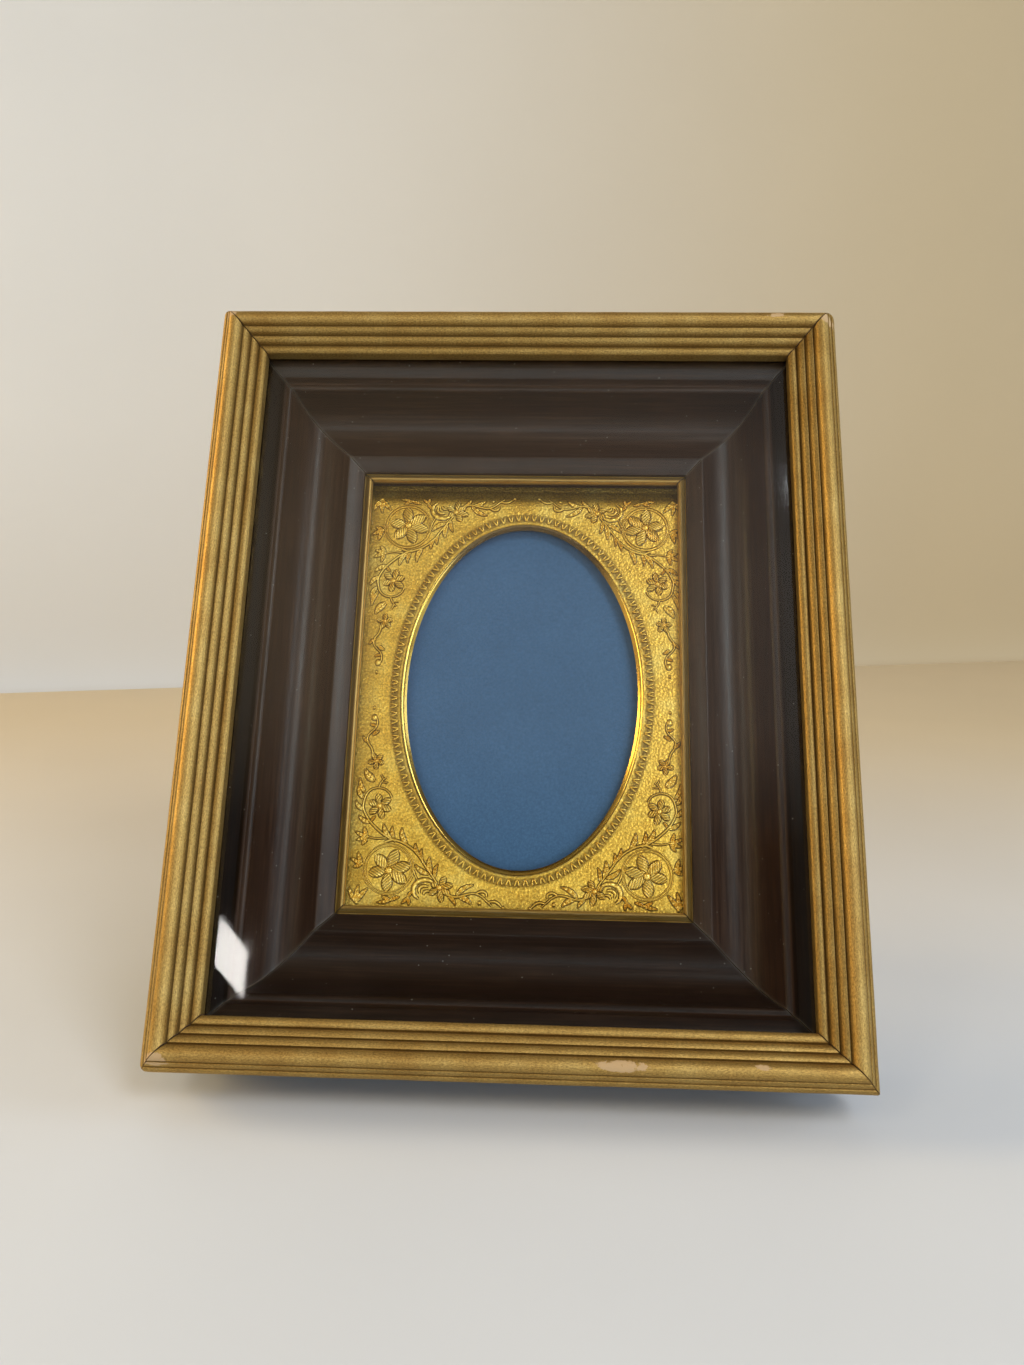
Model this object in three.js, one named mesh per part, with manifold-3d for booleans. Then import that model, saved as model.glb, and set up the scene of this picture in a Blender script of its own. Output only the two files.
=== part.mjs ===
// A small shadow-box picture frame that stands on a table: four reeded gold rails, a glass pane,
// a deep dark cove liner with a gilt slip, an embossed brass mat with an oval opening,
// a blue card, a backing board held by turn buttons, and a folding easel strut.
// Millimetres, +Z up. The front faces -Y and the frame leans back towards +Y.
import * as THREE from 'three';
import { mergeVertices } from 'three/addons/utils/BufferGeometryUtils.js';
import Module from 'manifold-3d';

const wasm = await Module();
wasm.setup();

// Overall size and stance
const FRAME_WIDTH = 146.6; // outside the gold rails
const FRAME_HEIGHT = 175.1; // outside the gold rails, along the leaning face
const LEAN = 25; // degrees back from upright
const FIT = 0.3; // clearance between pieces that rest on each other
const MITRE_GAP = 0.2; // open joint between two rails at a corner

// Gold rail section, from its outer edge inwards. Heights are above the rabbet seat of the glass.
const SIDE_TOP = 3; // top of the plain outer side
const FILLET_IN = 1.15; // width of each of the two outer fillets
const FILLET_UP = 1.6; // rise of each outer fillet
const BEAD_WIDTH = 3.7; // the large half-round bead
const REED_WIDTH = 1.75; // each of the three reeds inside the bead
const REED_DROP = 1.45; // fall from one reed to the next
const REED_CROWN = 0.42; // height of a reed's arc above its two grooves
const LAST_REED_DROP = 0.6; // fall across the innermost reed
const GROOVE = 0.3; // width and depth of the fine grooves
const GOLD_REEDS = 3;
const LIP_WIDTH = 4.3; // overhang of the gold rail in front of the glass
const RABBET_DEPTH = 6.5; // depth of the gold rail's rabbet behind the lip

// Glass
const GLASS_THICKNESS = 2;

// Dark liner section, from the gold sight edge inwards. Drops are below the liner's front face.
const LINER_SETBACK = 3.5; // how far the liner's side stands in from the gold side
const FILLET_HIDDEN = 1.3; // flat front of the liner that the gold lip covers
const FILLET_WIDTH = 2.3; // sloping outer fillet
const FILLET_DROP = 1.7;
const STEP_IN = 0.35; // small step under the fillet's arris
const STEP_DROP = 1;
const QUIRK_WIDTH = 0.45; // dark quirk outside the small bead
const QUIRK_DROP = 0.8;
const SMALL_BEAD = 1.6; // width of the small bead
const SMALL_BEAD_CROWN = 1 / 3; // rise of the small bead's arc, as a share of its width
const COVE_WIDTH = 13.6; // from the small bead to the inner arris
const COVE_START_DROP = 4.5;
const COVE_WALL = 1.6; // how far the steep wall of the cove leans in
const COVE_PULL = 1 / 3; // share of the cove's width where its belly is pulled down
const COVE_BELLY = 17; // depth that the cove's curve is pulled towards
const ARRIS_DROP = 11.4; // inner arris below the liner's front face
const STRIP_WIDTH = 3.8; // flat strip between the arris and the liner's sight edge
const STRIP_DROP = 1.6;
const LIP_THICKNESS = 1.1; // liner at its sight edge
const LINER_LIP = 2; // depth of the liner's back rabbet under its sight edge

// Gilt slip
const SLIP_WIDTH = 2; // shown inside the liner's sight edge
const SLIP_FLANGE = 0.8;
const SLIP_RISE = 1.4; // nose of the slip above its flange
const SLIP_EDGE = 0.5; // height of the slip's outer edge above its flange
const SLIP_NOSE = 0.8; // width of the rounded nose at the sight edge

// Brass mat
const MAT_THICKNESS = 0.4;
const MAT_DEPTH = 3; // its turned-back edges, which hold the card behind the oval
const MAT_SIDE_SLACK = 0.7; // the mat has slid to one side by this much
const MAT_DROP = 1.5; // the mat has settled on the bottom of its rabbet by this much
const MAT_BORDER_SIDE = 13.9; // mat edge to the oval, at its sides
const MAT_BORDER_END = 12.95; // mat edge to the oval, at its top and bottom
const RIM_WIDTH = 1.5; // polished bevel round the oval, pressed back towards the card
const RIM_DROP = 0.75;
const RIM_EDGE = 0.25; // thickness at the oval's edge

// Card and backing
const CARD_THICKNESS = 0.5;
const BOARD_THICKNESS = 3;

// Nails that hold the liner to the back of the gold rails
const NAIL_RADIUS = 0.6;
const NAIL_HEAD_RADIUS = 1.1;
const NAIL_HEAD = 0.6;
const NAIL_BITE = 3.6; // length in the gold rail
const NAIL_POINT = 1.2;
const NAIL_SINK = 0.2; // head below the liner's back

// Turn buttons on the side rails, with their screws
const BUTTON_SPREAD = 28; // from the middle of the rail
const BUTTON_INSET = 5; // pivot to the edge of the board's rabbet
const BUTTON_REACH = 12; // pivot to the middle of the round inner end
const BUTTON_WIDTH = 7;
const BUTTON_THICKNESS = 1.2;
const SCREW_RADIUS = 1.25;
const SCREW_HEAD_RADIUS = 2.7;
const SCREW_HEAD = 1.4;
const SCREW_BITE = 8; // length in the wood
const SCREW_POINT = 2.5;
const SLOT_WIDTH = 0.7;
const SLOT_DEPTH = 0.7;

// Easel strut, its pressed bracket, pin and rivets
const STRUT_OPEN = 42; // degrees from the board, where the strut's bevelled head meets the bracket
const STRUT_THICKNESS = 4;
const STRUT_HEAD_WIDTH = 14;
const STRUT_FOOT_WIDTH = 44;
const STRUT_SHOULDER = 9; // from the pin down to where the strut begins to widen
const STRUT_FOOT_ROUND = 5;
const PIN_UP = 20; // pin above the middle of the frame
const PIN_STANDOFF = 4.8; // pin axis behind the board
const PIN_RADIUS = 1;
const PIN_HEAD_RADIUS = 1.9;
const PIN_HEAD = 0.8;
const BRACKET_THICKNESS = 0.8;
const BRACKET_FLANGE = 7; // each riveted flange outside an ear
const BRACKET_HEIGHT = 16;
const BRACKET_ROUND = 2;
const EAR_RADIUS = 3.2;
const RIVET_EDGE = 3.5; // rivets from the bracket's upper and lower ends
const RIVET_RADIUS = 1;
const RIVET_HEAD_RADIUS = 1.9;
const RIVET_HEAD = 0.9;
const RIVET_SINK = 0.2; // clenched end below the front of the board

// Facets
const ARC_STEPS = 12;
const OVAL_STEPS = 96;
const ROUND_STEPS = 20;
const DOME_STEPS = 3;
const MARGIN = 1; // a cutter reaches past what it cuts

// Depths along the face's normal: 0 is the seat of the glass, towards the viewer is positive
const glassFront = -FIT;
const glassBack = glassFront - GLASS_THICKNESS;
const linerFront = glassBack - FIT;
const goldBack = -RABBET_DEPTH;
const linerShoulder = goldBack - FIT;
const linerSightFront = linerFront - ARRIS_DROP - STRIP_DROP;
const linerSightBack = linerSightFront - LIP_THICKNESS;
const slipFlangeFront = linerSightBack - FIT;
const slipBack = slipFlangeFront - SLIP_FLANGE;
const matFront = slipBack - FIT;
const cardFront = matFront - MAT_DEPTH - FIT;
const cardBack = cardFront - CARD_THICKNESS;
const boardFront = cardBack - FIT;
const frameBack = boardFront - BOARD_THICKNESS;

// Insets from the outer edge of the gold rails
const goldSight = 2 * FILLET_IN + BEAD_WIDTH + GOLD_REEDS * REED_WIDTH;
const goldRabbet = goldSight - LIP_WIDTH;
const linerTongue = goldRabbet + FIT;
const filletArris = goldSight + FILLET_WIDTH;
const coveStart = filletArris + STEP_IN + QUIRK_WIDTH + SMALL_BEAD;
const innerArris = coveStart + COVE_WIDTH;
const linerSight = innerArris + STRIP_WIDTH;
const linerRabbet = linerSight - LINER_LIP;
const slipSight = linerSight + SLIP_WIDTH;
const nailInset = (LINER_SETBACK + goldRabbet) / 2;

const rabbetWidth = FRAME_WIDTH - 2 * linerRabbet;
const rabbetHeight = FRAME_HEIGHT - 2 * linerRabbet;
const matWidth = rabbetWidth - 2 * (FIT + MAT_SIDE_SLACK);
const matHeight = rabbetHeight - 2 * (FIT + MAT_DROP);

const lean = THREE.MathUtils.degToRad(LEAN);
const strutOpen = THREE.MathUtils.degToRad(STRUT_OPEN);

// Materials
function finish(color, roughness, metalness) {
  return new THREE.MeshStandardMaterial({ color, roughness, metalness });
}
const goldPaint = finish(0x9a7a3e, 0.42, 0.6);
const darkWood = finish(0x34281f, 0.4, 0);
const gilt = finish(0xc8a04e, 0.32, 0.8);
const brass = finish(0xc9a24a, 0.3, 0.9);
const blueCard = finish(0x4a6078, 0.9, 0);
const brownBoard = finish(0x6b5138, 0.8, 0);
const steel = finish(0x8d8a84, 0.4, 0.9);
const clearGlass = new THREE.MeshStandardMaterial({
  color: 0xe8f0f0, roughness: 0.05, metalness: 0, transparent: true, opacity: 0.2,
});

// Solids: a closed geometry becomes a solid that can be joined, cut and turned back into a geometry
function solid(geometry) {
  const bare = geometry.clone();
  bare.deleteAttribute('normal');
  bare.deleteAttribute('uv');
  const merged = mergeVertices(bare);
  return new wasm.Manifold(new wasm.Mesh({
    numProp: 3,
    vertProperties: new Float32Array(merged.attributes.position.array),
    triVerts: new Uint32Array(merged.index.array),
  }));
}

function geometryOf(body) {
  const result = body.getMesh();
  const geometry = new THREE.BufferGeometry();
  geometry.setAttribute('position', new THREE.BufferAttribute(result.vertProperties, 3));
  geometry.setIndex(new THREE.BufferAttribute(result.triVerts, 1));
  return geometry;
}

function cut(geometry, ...cutters) {
  return geometryOf(cutters.reduce((body, cutter) => body.subtract(solid(cutter)), solid(geometry)));
}

function join(geometry, ...others) {
  return geometryOf(others.reduce((body, other) => body.add(solid(other)), solid(geometry)));
}

function node(name, geometry, material) {
  const mesh = new THREE.Mesh(geometry, material);
  mesh.name = name;
  return mesh;
}

function extrude(shape, depth) {
  return new THREE.ExtrudeGeometry(shape, { depth, bevelEnabled: false, curveSegments: ARC_STEPS });
}

// A plate whose outline lies in y and z, standing across x with its middle at x = 0
function extrudeAlongX(shape, width) {
  const toSide = new THREE.Matrix4().set(0, 0, 1, -width / 2, 1, 0, 0, 0, 0, 1, 0, 0, 0, 0, 0, 1);
  return extrude(shape, width).applyMatrix4(toSide);
}

// A round bar along z between two heights
function barAlongZ(radius, low, high) {
  const bar = new THREE.CylinderGeometry(radius, radius, high - low, ROUND_STEPS);
  return bar.rotateX(Math.PI / 2).translate(0, 0, (low + high) / 2);
}

// A turned piece whose axis is z: profile points are [radius, height], from the axis to the axis
function turnedAlongZ(profile) {
  const points = profile.map(([radius, height]) => new THREE.Vector2(radius, height));
  return new THREE.LatheGeometry(points, ROUND_STEPS).rotateX(Math.PI / 2);
}

// Profile points of a domed head, from its crown to its rim on the seat
function dome(radius, rise, seat) {
  return Array.from({ length: DOME_STEPS + 1 }, (_, i) => {
    const angle = (Math.PI * i) / (2 * DOME_STEPS);
    return [radius * Math.sin(angle), seat - rise * Math.cos(angle)];
  });
}

function roundedRectangle(width, height, radius) {
  const shape = new THREE.Shape();
  const x = width / 2;
  const y = height / 2;
  shape.moveTo(-x + radius, -y);
  shape.lineTo(x - radius, -y);
  shape.absarc(x - radius, -y + radius, radius, -Math.PI / 2, 0);
  shape.lineTo(x, y - radius);
  shape.absarc(x - radius, y - radius, radius, 0, Math.PI / 2);
  shape.lineTo(-x + radius, y);
  shape.absarc(-x + radius, y - radius, radius, Math.PI / 2, Math.PI);
  shape.lineTo(-x, -y + radius);
  shape.absarc(-x + radius, -y + radius, radius, Math.PI, 1.5 * Math.PI);
  return shape;
}

// Mouldings: a section in inset and height is drawn out along a rail and mitred at both ends.
// The rail lies along x at the top of the frame, with its outer edge at y = across / 2.
function mitredRail(section, along, across) {
  const geometry = extrude(section, 1);
  const place = geometry.attributes.position;
  for (let i = 0; i < place.count; i += 1) {
    const inset = place.getX(i);
    const reach = along / 2 - inset - MITRE_GAP / Math.SQRT2;
    const end = place.getZ(i) > 0 ? -reach : reach;
    place.setXYZ(i, end, across / 2 - inset, place.getY(i));
  }
  return geometry;
}

// A convex stretch of a section from the current point to (x, y), raised by crown at its middle
function crownTo(shape, x, y, crown) {
  const from = shape.currentPoint;
  const chord = Math.hypot(x - from.x, y - from.y);
  const midX = (from.x + x) / 2 - (2 * crown * (y - from.y)) / chord;
  const midY = (from.y + y) / 2 + (2 * crown * (x - from.x)) / chord;
  shape.quadraticCurveTo(midX, midY, x, y);
}

// Gold rail: plain side, two fillets, a half-round bead and three falling reeds, with a glass rabbet
function goldSection() {
  const shape = new THREE.Shape();
  shape.moveTo(goldRabbet, 0);
  shape.lineTo(goldRabbet, goldBack);
  shape.lineTo(0, goldBack);
  let inset = 0;
  let height = SIDE_TOP;
  shape.lineTo(inset, height);
  for (let i = 0; i < 2; i += 1) {
    inset += FILLET_IN;
    height += FILLET_UP;
    crownTo(shape, inset - GROOVE, height, GROOVE / 2);
    shape.lineTo(inset, height - GROOVE / 2);
  }
  const beadRadius = (BEAD_WIDTH - GROOVE) / 2;
  shape.lineTo(inset, height);
  shape.absarc(inset + beadRadius, height, beadRadius, Math.PI, 0, true);
  inset += BEAD_WIDTH;
  for (let i = 0; i < GOLD_REEDS; i += 1) {
    const drop = i < GOLD_REEDS - 1 ? REED_DROP : LAST_REED_DROP;
    shape.lineTo(inset - GROOVE / 2, height - GROOVE);
    shape.lineTo(inset, height);
    inset += REED_WIDTH;
    height -= drop;
    crownTo(shape, i < GOLD_REEDS - 1 ? inset - GROOVE : inset, height, REED_CROWN);
  }
  shape.lineTo(goldSight, 0);
  return shape;
}

// Dark liner: tongue in the gold rabbet, sloping fillet, quirk and small bead, deep cove, flat strip
function linerSection() {
  const shape = new THREE.Shape();
  const stepInset = filletArris + STEP_IN;
  const quirkInset = stepInset + QUIRK_WIDTH;
  const filletHeight = linerFront - FILLET_DROP;
  const stepHeight = filletHeight - STEP_DROP;
  const coveTop = linerFront - COVE_START_DROP;
  shape.moveTo(linerTongue, linerFront);
  shape.lineTo(linerTongue, linerShoulder);
  shape.lineTo(LINER_SETBACK, linerShoulder);
  shape.lineTo(LINER_SETBACK, frameBack);
  shape.lineTo(linerRabbet, frameBack);
  shape.lineTo(linerRabbet, linerSightBack);
  shape.lineTo(linerSight, linerSightBack);
  shape.lineTo(linerSight, linerSightFront);
  shape.lineTo(innerArris, linerFront - ARRIS_DROP);
  shape.bezierCurveTo(
    coveStart + COVE_WIDTH * COVE_PULL, linerFront - COVE_BELLY,
    coveStart + COVE_WALL, linerFront - ARRIS_DROP,
    coveStart, coveTop,
  );
  crownTo(shape, quirkInset, stepHeight - QUIRK_DROP, -SMALL_BEAD * SMALL_BEAD_CROWN);
  shape.lineTo(stepInset, stepHeight);
  shape.lineTo(filletArris, filletHeight);
  shape.lineTo(goldSight - FILLET_HIDDEN, linerFront);
  return shape;
}

// Gilt slip: a flange under the liner's lip, an outer slope and a rounded nose at the sight edge
function slipSection() {
  const shape = new THREE.Shape();
  const outerEdge = linerSight + FIT;
  const noseStart = slipSight - SLIP_NOSE;
  const noseTop = slipFlangeFront + SLIP_RISE;
  shape.moveTo(linerRabbet + FIT, slipFlangeFront);
  shape.lineTo(linerRabbet + FIT, slipBack);
  shape.lineTo(slipSight, slipBack);
  shape.lineTo(slipSight, noseTop - SLIP_NOSE);
  shape.quadraticCurveTo(slipSight, noseTop, noseStart, noseTop);
  shape.lineTo(outerEdge, slipFlangeFront + SLIP_EDGE);
  shape.lineTo(outerEdge, slipFlangeFront);
  return shape;
}

// Brass mat: a pressed sheet whose outer edges are turned back, with a bevel round its oval opening.
// Heights here are from the mat's front.
function ovalRing(section, halfWidth, halfHeight) {
  const places = [];
  const faces = [];
  const count = section.length;
  for (let step = 0; step < OVAL_STEPS; step += 1) {
    const angle = (2 * Math.PI * step) / OVAL_STEPS;
    const next = (step + 1) % OVAL_STEPS;
    section.forEach(([offset, height], i) => {
      places.push((halfWidth + offset) * Math.cos(angle), (halfHeight + offset) * Math.sin(angle), height);
      const j = (i + 1) % count;
      const corners = [step * count + i, next * count + i, next * count + j, step * count + j];
      faces.push(corners[0], corners[1], corners[2], corners[0], corners[2], corners[3]);
    });
  }
  const geometry = new THREE.BufferGeometry();
  geometry.setAttribute('position', new THREE.Float32BufferAttribute(places, 3));
  geometry.setIndex(faces);
  return geometry;
}

// A thick oval through a sheet at height 0, with the same facets as the ring round it
function ovalDisc(halfWidth, halfHeight, reach) {
  const disc = new THREE.CylinderGeometry(1, 1, 2 * reach, OVAL_STEPS).rotateX(Math.PI / 2);
  return disc.rotateZ(Math.PI / 2).scale(halfWidth, halfHeight, 1);
}

function brassMat() {
  const halfWidth = matWidth / 2 - MAT_BORDER_SIDE;
  const halfHeight = matHeight / 2 - MAT_BORDER_END;
  const inside = [matWidth - 2 * MAT_THICKNESS, matHeight - 2 * MAT_THICKNESS, MAT_DEPTH];
  const pan = new THREE.BoxGeometry(matWidth, matHeight, MAT_DEPTH).translate(0, 0, -MAT_DEPTH / 2);
  const hollow = new THREE.BoxGeometry(...inside).translate(0, 0, -MAT_THICKNESS - MAT_DEPTH / 2);
  const opening = ovalDisc(halfWidth + RIM_WIDTH, halfHeight + RIM_WIDTH, MARGIN);
  const sheet = cut(pan, hollow, opening);
  const bevel = ovalRing([
    [0, -RIM_DROP - RIM_EDGE], [RIM_WIDTH + MAT_THICKNESS, -MAT_THICKNESS],
    [RIM_WIDTH + MAT_THICKNESS, 0], [RIM_WIDTH, 0], [0, -RIM_DROP],
  ], halfWidth, halfHeight);
  return join(sheet, bevel);
}

// Nail from the liner's back into the gold rail: head, shank and point
function nailProfile() {
  const head = frameBack + NAIL_SINK;
  const neck = head + NAIL_HEAD;
  const tip = goldBack + NAIL_BITE;
  return [
    [0, head], [NAIL_HEAD_RADIUS, head], [NAIL_HEAD_RADIUS, neck], [NAIL_RADIUS, neck],
    [NAIL_RADIUS, tip - NAIL_POINT], [0, tip],
  ];
}

// The hole that the nail sits in, open at the liner's back
function nailBoreProfile() {
  const open = frameBack - MARGIN;
  const neck = frameBack + NAIL_SINK + NAIL_HEAD + FIT;
  const tip = goldBack + NAIL_BITE;
  return [
    [0, open], [NAIL_HEAD_RADIUS + FIT, open], [NAIL_HEAD_RADIUS + FIT, neck], [NAIL_RADIUS + FIT, neck],
    [NAIL_RADIUS + FIT, tip - NAIL_POINT], [0, tip + FIT],
  ];
}

// Round-head screw through a turn button into the liner, with a slot across its head
const buttonFront = frameBack - FIT;
const buttonBack = buttonFront - BUTTON_THICKNESS;
const screwSeat = buttonBack - FIT;

function buttonScrew() {
  const crown = screwSeat - SCREW_HEAD;
  const tip = frameBack + SCREW_BITE;
  const body = turnedAlongZ([
    ...dome(SCREW_HEAD_RADIUS, SCREW_HEAD, screwSeat),
    [SCREW_RADIUS, screwSeat], [SCREW_RADIUS, tip - SCREW_POINT], [0, tip],
  ]);
  const slot = new THREE.BoxGeometry(2 * SCREW_HEAD_RADIUS + MARGIN, SLOT_WIDTH, 2 * SLOT_DEPTH);
  return cut(body, slot.translate(0, 0, crown));
}

function screwBore() {
  return barAlongZ(SCREW_RADIUS + FIT, frameBack - MARGIN, frameBack + SCREW_BITE + FIT);
}

// Turn button: a flat tongue with round ends, whose inner end laps over the backing board
function turnButton() {
  const radius = BUTTON_WIDTH / 2;
  const shape = new THREE.Shape();
  shape.absarc(0, 0, radius, 0, Math.PI);
  shape.lineTo(-radius, -BUTTON_REACH);
  shape.absarc(0, -BUTTON_REACH, radius, Math.PI, 2 * Math.PI);
  const plate = extrude(shape, BUTTON_THICKNESS).translate(0, 0, buttonBack);
  return cut(plate, barAlongZ(SCREW_RADIUS + FIT, buttonBack - MARGIN, buttonFront + MARGIN));
}

// Easel: everything here is placed from the pin's axis, along x
const earMiddle = STRUT_HEAD_WIDTH / 2 + FIT + BRACKET_THICKNESS / 2;
const earOutside = earMiddle + BRACKET_THICKNESS / 2;
const bracketFront = PIN_STANDOFF - FIT;
const bracketBack = bracketFront - BRACKET_THICKNESS;
const rivetRise = BRACKET_HEIGHT / 2 - RIVET_EDGE;
const rivetPlaces = [-1, 1].flatMap((side) => [-1, 1].map((end) => (
  [side * (earOutside + BRACKET_FLANGE / 2), end * rivetRise]
)));

function strutBracket() {
  const plateWidth = 2 * (earOutside + BRACKET_FLANGE);
  const outline = roundedRectangle(plateWidth, BRACKET_HEIGHT, BRACKET_ROUND);
  const plate = extrude(outline, BRACKET_THICKNESS).translate(0, 0, bracketBack);
  const ear = new THREE.Shape();
  ear.moveTo(-EAR_RADIUS, bracketFront);
  ear.lineTo(-EAR_RADIUS, 0);
  ear.absarc(0, 0, EAR_RADIUS, Math.PI, 2 * Math.PI);
  ear.lineTo(EAR_RADIUS, bracketFront);
  const ears = [-1, 1].map((side) => (
    extrudeAlongX(ear, BRACKET_THICKNESS).translate(side * earMiddle, 0, 0)
  ));
  const pinBore = barAlongZ(PIN_RADIUS + FIT, -plateWidth, plateWidth).rotateY(Math.PI / 2);
  const rivetBores = rivetPlaces.map(([x, y]) => (
    barAlongZ(RIVET_RADIUS + FIT, bracketBack - MARGIN, bracketFront + MARGIN).translate(x, y, 0)
  ));
  return cut(join(plate, ...ears), pinBore, ...rivetBores);
}

function strutPin() {
  const seat = earOutside + FIT;
  const head = dome(PIN_HEAD_RADIUS, PIN_HEAD, -seat);
  const otherHead = head.map(([radius, height]) => [radius, -height]).reverse();
  return turnedAlongZ([
    ...head, [PIN_RADIUS, -seat], [PIN_RADIUS, seat], ...otherHead,
  ]).rotateY(Math.PI / 2);
}

function bracketRivet() {
  const seat = bracketBack - FIT;
  const end = PIN_STANDOFF + BOARD_THICKNESS - RIVET_SINK;
  return turnedAlongZ([
    ...dome(RIVET_HEAD_RADIUS, RIVET_HEAD, seat), [RIVET_RADIUS, seat], [RIVET_RADIUS, end], [0, end],
  ]);
}

// The lowest edge of the leaning frame, which stands on the table with the strut's foot
function heightOnTable(up, out) {
  return up * Math.cos(lean) + out * Math.sin(lean);
}
const stance = Math.min(
  heightOnTable(LINER_SETBACK - FRAME_HEIGHT / 2, frameBack),
  heightOnTable(-FRAME_HEIGHT / 2, goldBack),
);
const pinHeight = heightOnTable(PIN_UP, frameBack - PIN_STANDOFF) - stance;

// Strut: a tapered tongue. Its head is bevelled to meet the bracket when open, its foot to meet the table.
function easelStrut() {
  const half = STRUT_THICKNESS / 2;
  const headGap = bracketBack - FIT;
  const headAt = (out) => (headGap - out * Math.cos(strutOpen)) / Math.sin(strutOpen);
  const tilt = strutOpen - lean;
  const footAt = (out) => (-pinHeight + out * Math.sin(tilt)) / Math.cos(tilt);
  const side = new THREE.Shape();
  side.moveTo(headAt(half), half);
  side.lineTo(headAt(-half), -half);
  side.lineTo(footAt(-half), -half);
  side.lineTo(footAt(half), half);
  const headTop = Math.max(headAt(half), headAt(-half)) + MARGIN;
  const footEnd = Math.min(footAt(half), footAt(-half));
  const neck = STRUT_HEAD_WIDTH / 2;
  const foot = STRUT_FOOT_WIDTH / 2;
  const front = new THREE.Shape();
  front.moveTo(-neck, headTop);
  front.lineTo(-neck, -STRUT_SHOULDER);
  front.lineTo(-foot, footEnd + STRUT_FOOT_ROUND);
  front.quadraticCurveTo(-foot, footEnd, -foot + STRUT_FOOT_ROUND, footEnd);
  front.lineTo(foot - STRUT_FOOT_ROUND, footEnd);
  front.quadraticCurveTo(foot, footEnd, foot, footEnd + STRUT_FOOT_ROUND);
  front.lineTo(neck, -STRUT_SHOULDER);
  front.lineTo(neck, headTop);
  const tongue = extrude(front, STRUT_THICKNESS + 2 * MARGIN).translate(0, 0, -half - MARGIN);
  const slab = extrudeAlongX(side, STRUT_FOOT_WIDTH + 2 * MARGIN);
  const bore = barAlongZ(PIN_RADIUS + FIT, -neck - MARGIN, neck + MARGIN).rotateY(Math.PI / 2);
  return geometryOf(solid(tongue).intersect(solid(slab)).subtract(solid(bore)));
}

function backingBoard() {
  const board = new THREE.BoxGeometry(rabbetWidth - 2 * FIT, rabbetHeight - 2 * FIT, BOARD_THICKNESS);
  const bores = rivetPlaces.map(([x, y]) => (
    barAlongZ(RIVET_RADIUS + FIT, -BOARD_THICKNESS, BOARD_THICKNESS).translate(x, PIN_UP + y, 0)
  ));
  return cut(board, ...bores);
}

// Assembly on the leaning face: x right, y up the face, z towards the viewer
const panel = new THREE.Group();

const level = { along: FRAME_WIDTH, across: FRAME_HEIGHT, buttons: [] };
const upright = { along: FRAME_HEIGHT, across: FRAME_WIDTH };
const sides = [
  { ...level, name: 'top', turn: 0 },
  { ...upright, name: 'left', turn: Math.PI / 2, buttons: ['upper', 'lower'] },
  { ...level, name: 'bottom', turn: Math.PI },
  { ...upright, name: 'right', turn: -Math.PI / 2, buttons: ['lower', 'upper'] },
];

sides.forEach(({ name, turn, along, across, buttons }) => {
  const side = new THREE.Group();
  side.rotation.z = turn;
  const nailY = across / 2 - nailInset;
  const buttonY = across / 2 - linerRabbet + BUTTON_INSET;
  const buttonXs = [BUTTON_SPREAD, -BUTTON_SPREAD];
  const nail = turnedAlongZ(nailProfile()).translate(0, nailY, 0);
  const nailBore = turnedAlongZ(nailBoreProfile()).translate(0, nailY, 0);
  const screwBores = buttons.map((_, i) => screwBore().translate(buttonXs[i], buttonY, 0));
  const goldRail = cut(mitredRail(goldSection(), along, across), nailBore);
  const linerRail = cut(mitredRail(linerSection(), along, across), nailBore, ...screwBores);
  side.add(node(`gold_rail_${name}`, goldRail, goldPaint));
  side.add(node(`liner_rail_${name}`, linerRail, darkWood));
  side.add(node(`slip_rail_${name}`, mitredRail(slipSection(), along, across), gilt));
  side.add(node(`liner_nail_${name}`, nail, steel));
  buttons.forEach((place, i) => {
    const button = node(`turn_button_${name}_${place}`, turnButton(), brass);
    const screw = node(`button_screw_${name}_${place}`, buttonScrew(), brass);
    button.position.set(buttonXs[i], buttonY, 0);
    screw.position.set(buttonXs[i], buttonY, 0);
    side.add(button, screw);
  });
  panel.add(side);
});

const glass = node('glass_pane', new THREE.BoxGeometry(
  FRAME_WIDTH - 2 * linerTongue, FRAME_HEIGHT - 2 * linerTongue, GLASS_THICKNESS,
), clearGlass);
glass.position.z = (glassFront + glassBack) / 2;

const mat = node('brass_mat', brassMat(), brass);
mat.position.set(MAT_SIDE_SLACK, -MAT_DROP, matFront);

const card = node('blue_card', new THREE.BoxGeometry(matWidth, matHeight, CARD_THICKNESS), blueCard);
card.position.set(MAT_SIDE_SLACK, -MAT_DROP, (cardFront + cardBack) / 2);

const board = node('backing_board', backingBoard(), brownBoard);
board.position.z = (boardFront + frameBack) / 2;
panel.add(glass, mat, card, board);

const easel = new THREE.Group();
easel.position.set(0, PIN_UP, frameBack - PIN_STANDOFF);
easel.add(node('strut_bracket', strutBracket(), steel));
easel.add(node('strut_pin', strutPin(), steel));
rivetPlaces.forEach(([x, y], i) => {
  const rivet = node(`bracket_rivet_${i + 1}`, bracketRivet(), steel);
  rivet.position.set(x, y, 0);
  easel.add(rivet);
});
const strut = node('easel_strut', easelStrut(), brownBoard);
strut.rotation.x = strutOpen;
easel.add(strut);
panel.add(easel);

// The face leans back, and the origin is under the middle of the whole object, on the table
panel.rotation.x = Math.PI / 2 - lean;
const frame = new THREE.Group();
frame.add(panel);
frame.updateMatrixWorld(true);
const reach = new THREE.Box3().setFromObject(frame, true);
panel.position.set(0, -(reach.min.y + reach.max.y) / 2, -stance);
frame.updateMatrixWorld(true);

export default frame;
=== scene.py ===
"""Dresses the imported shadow-box picture frame: mouldings, stamped brass mat, glass, card, back and stage."""

import math

import bmesh
import bpy
import numpy as np
from mathutils import Matrix, Vector, noise


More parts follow.
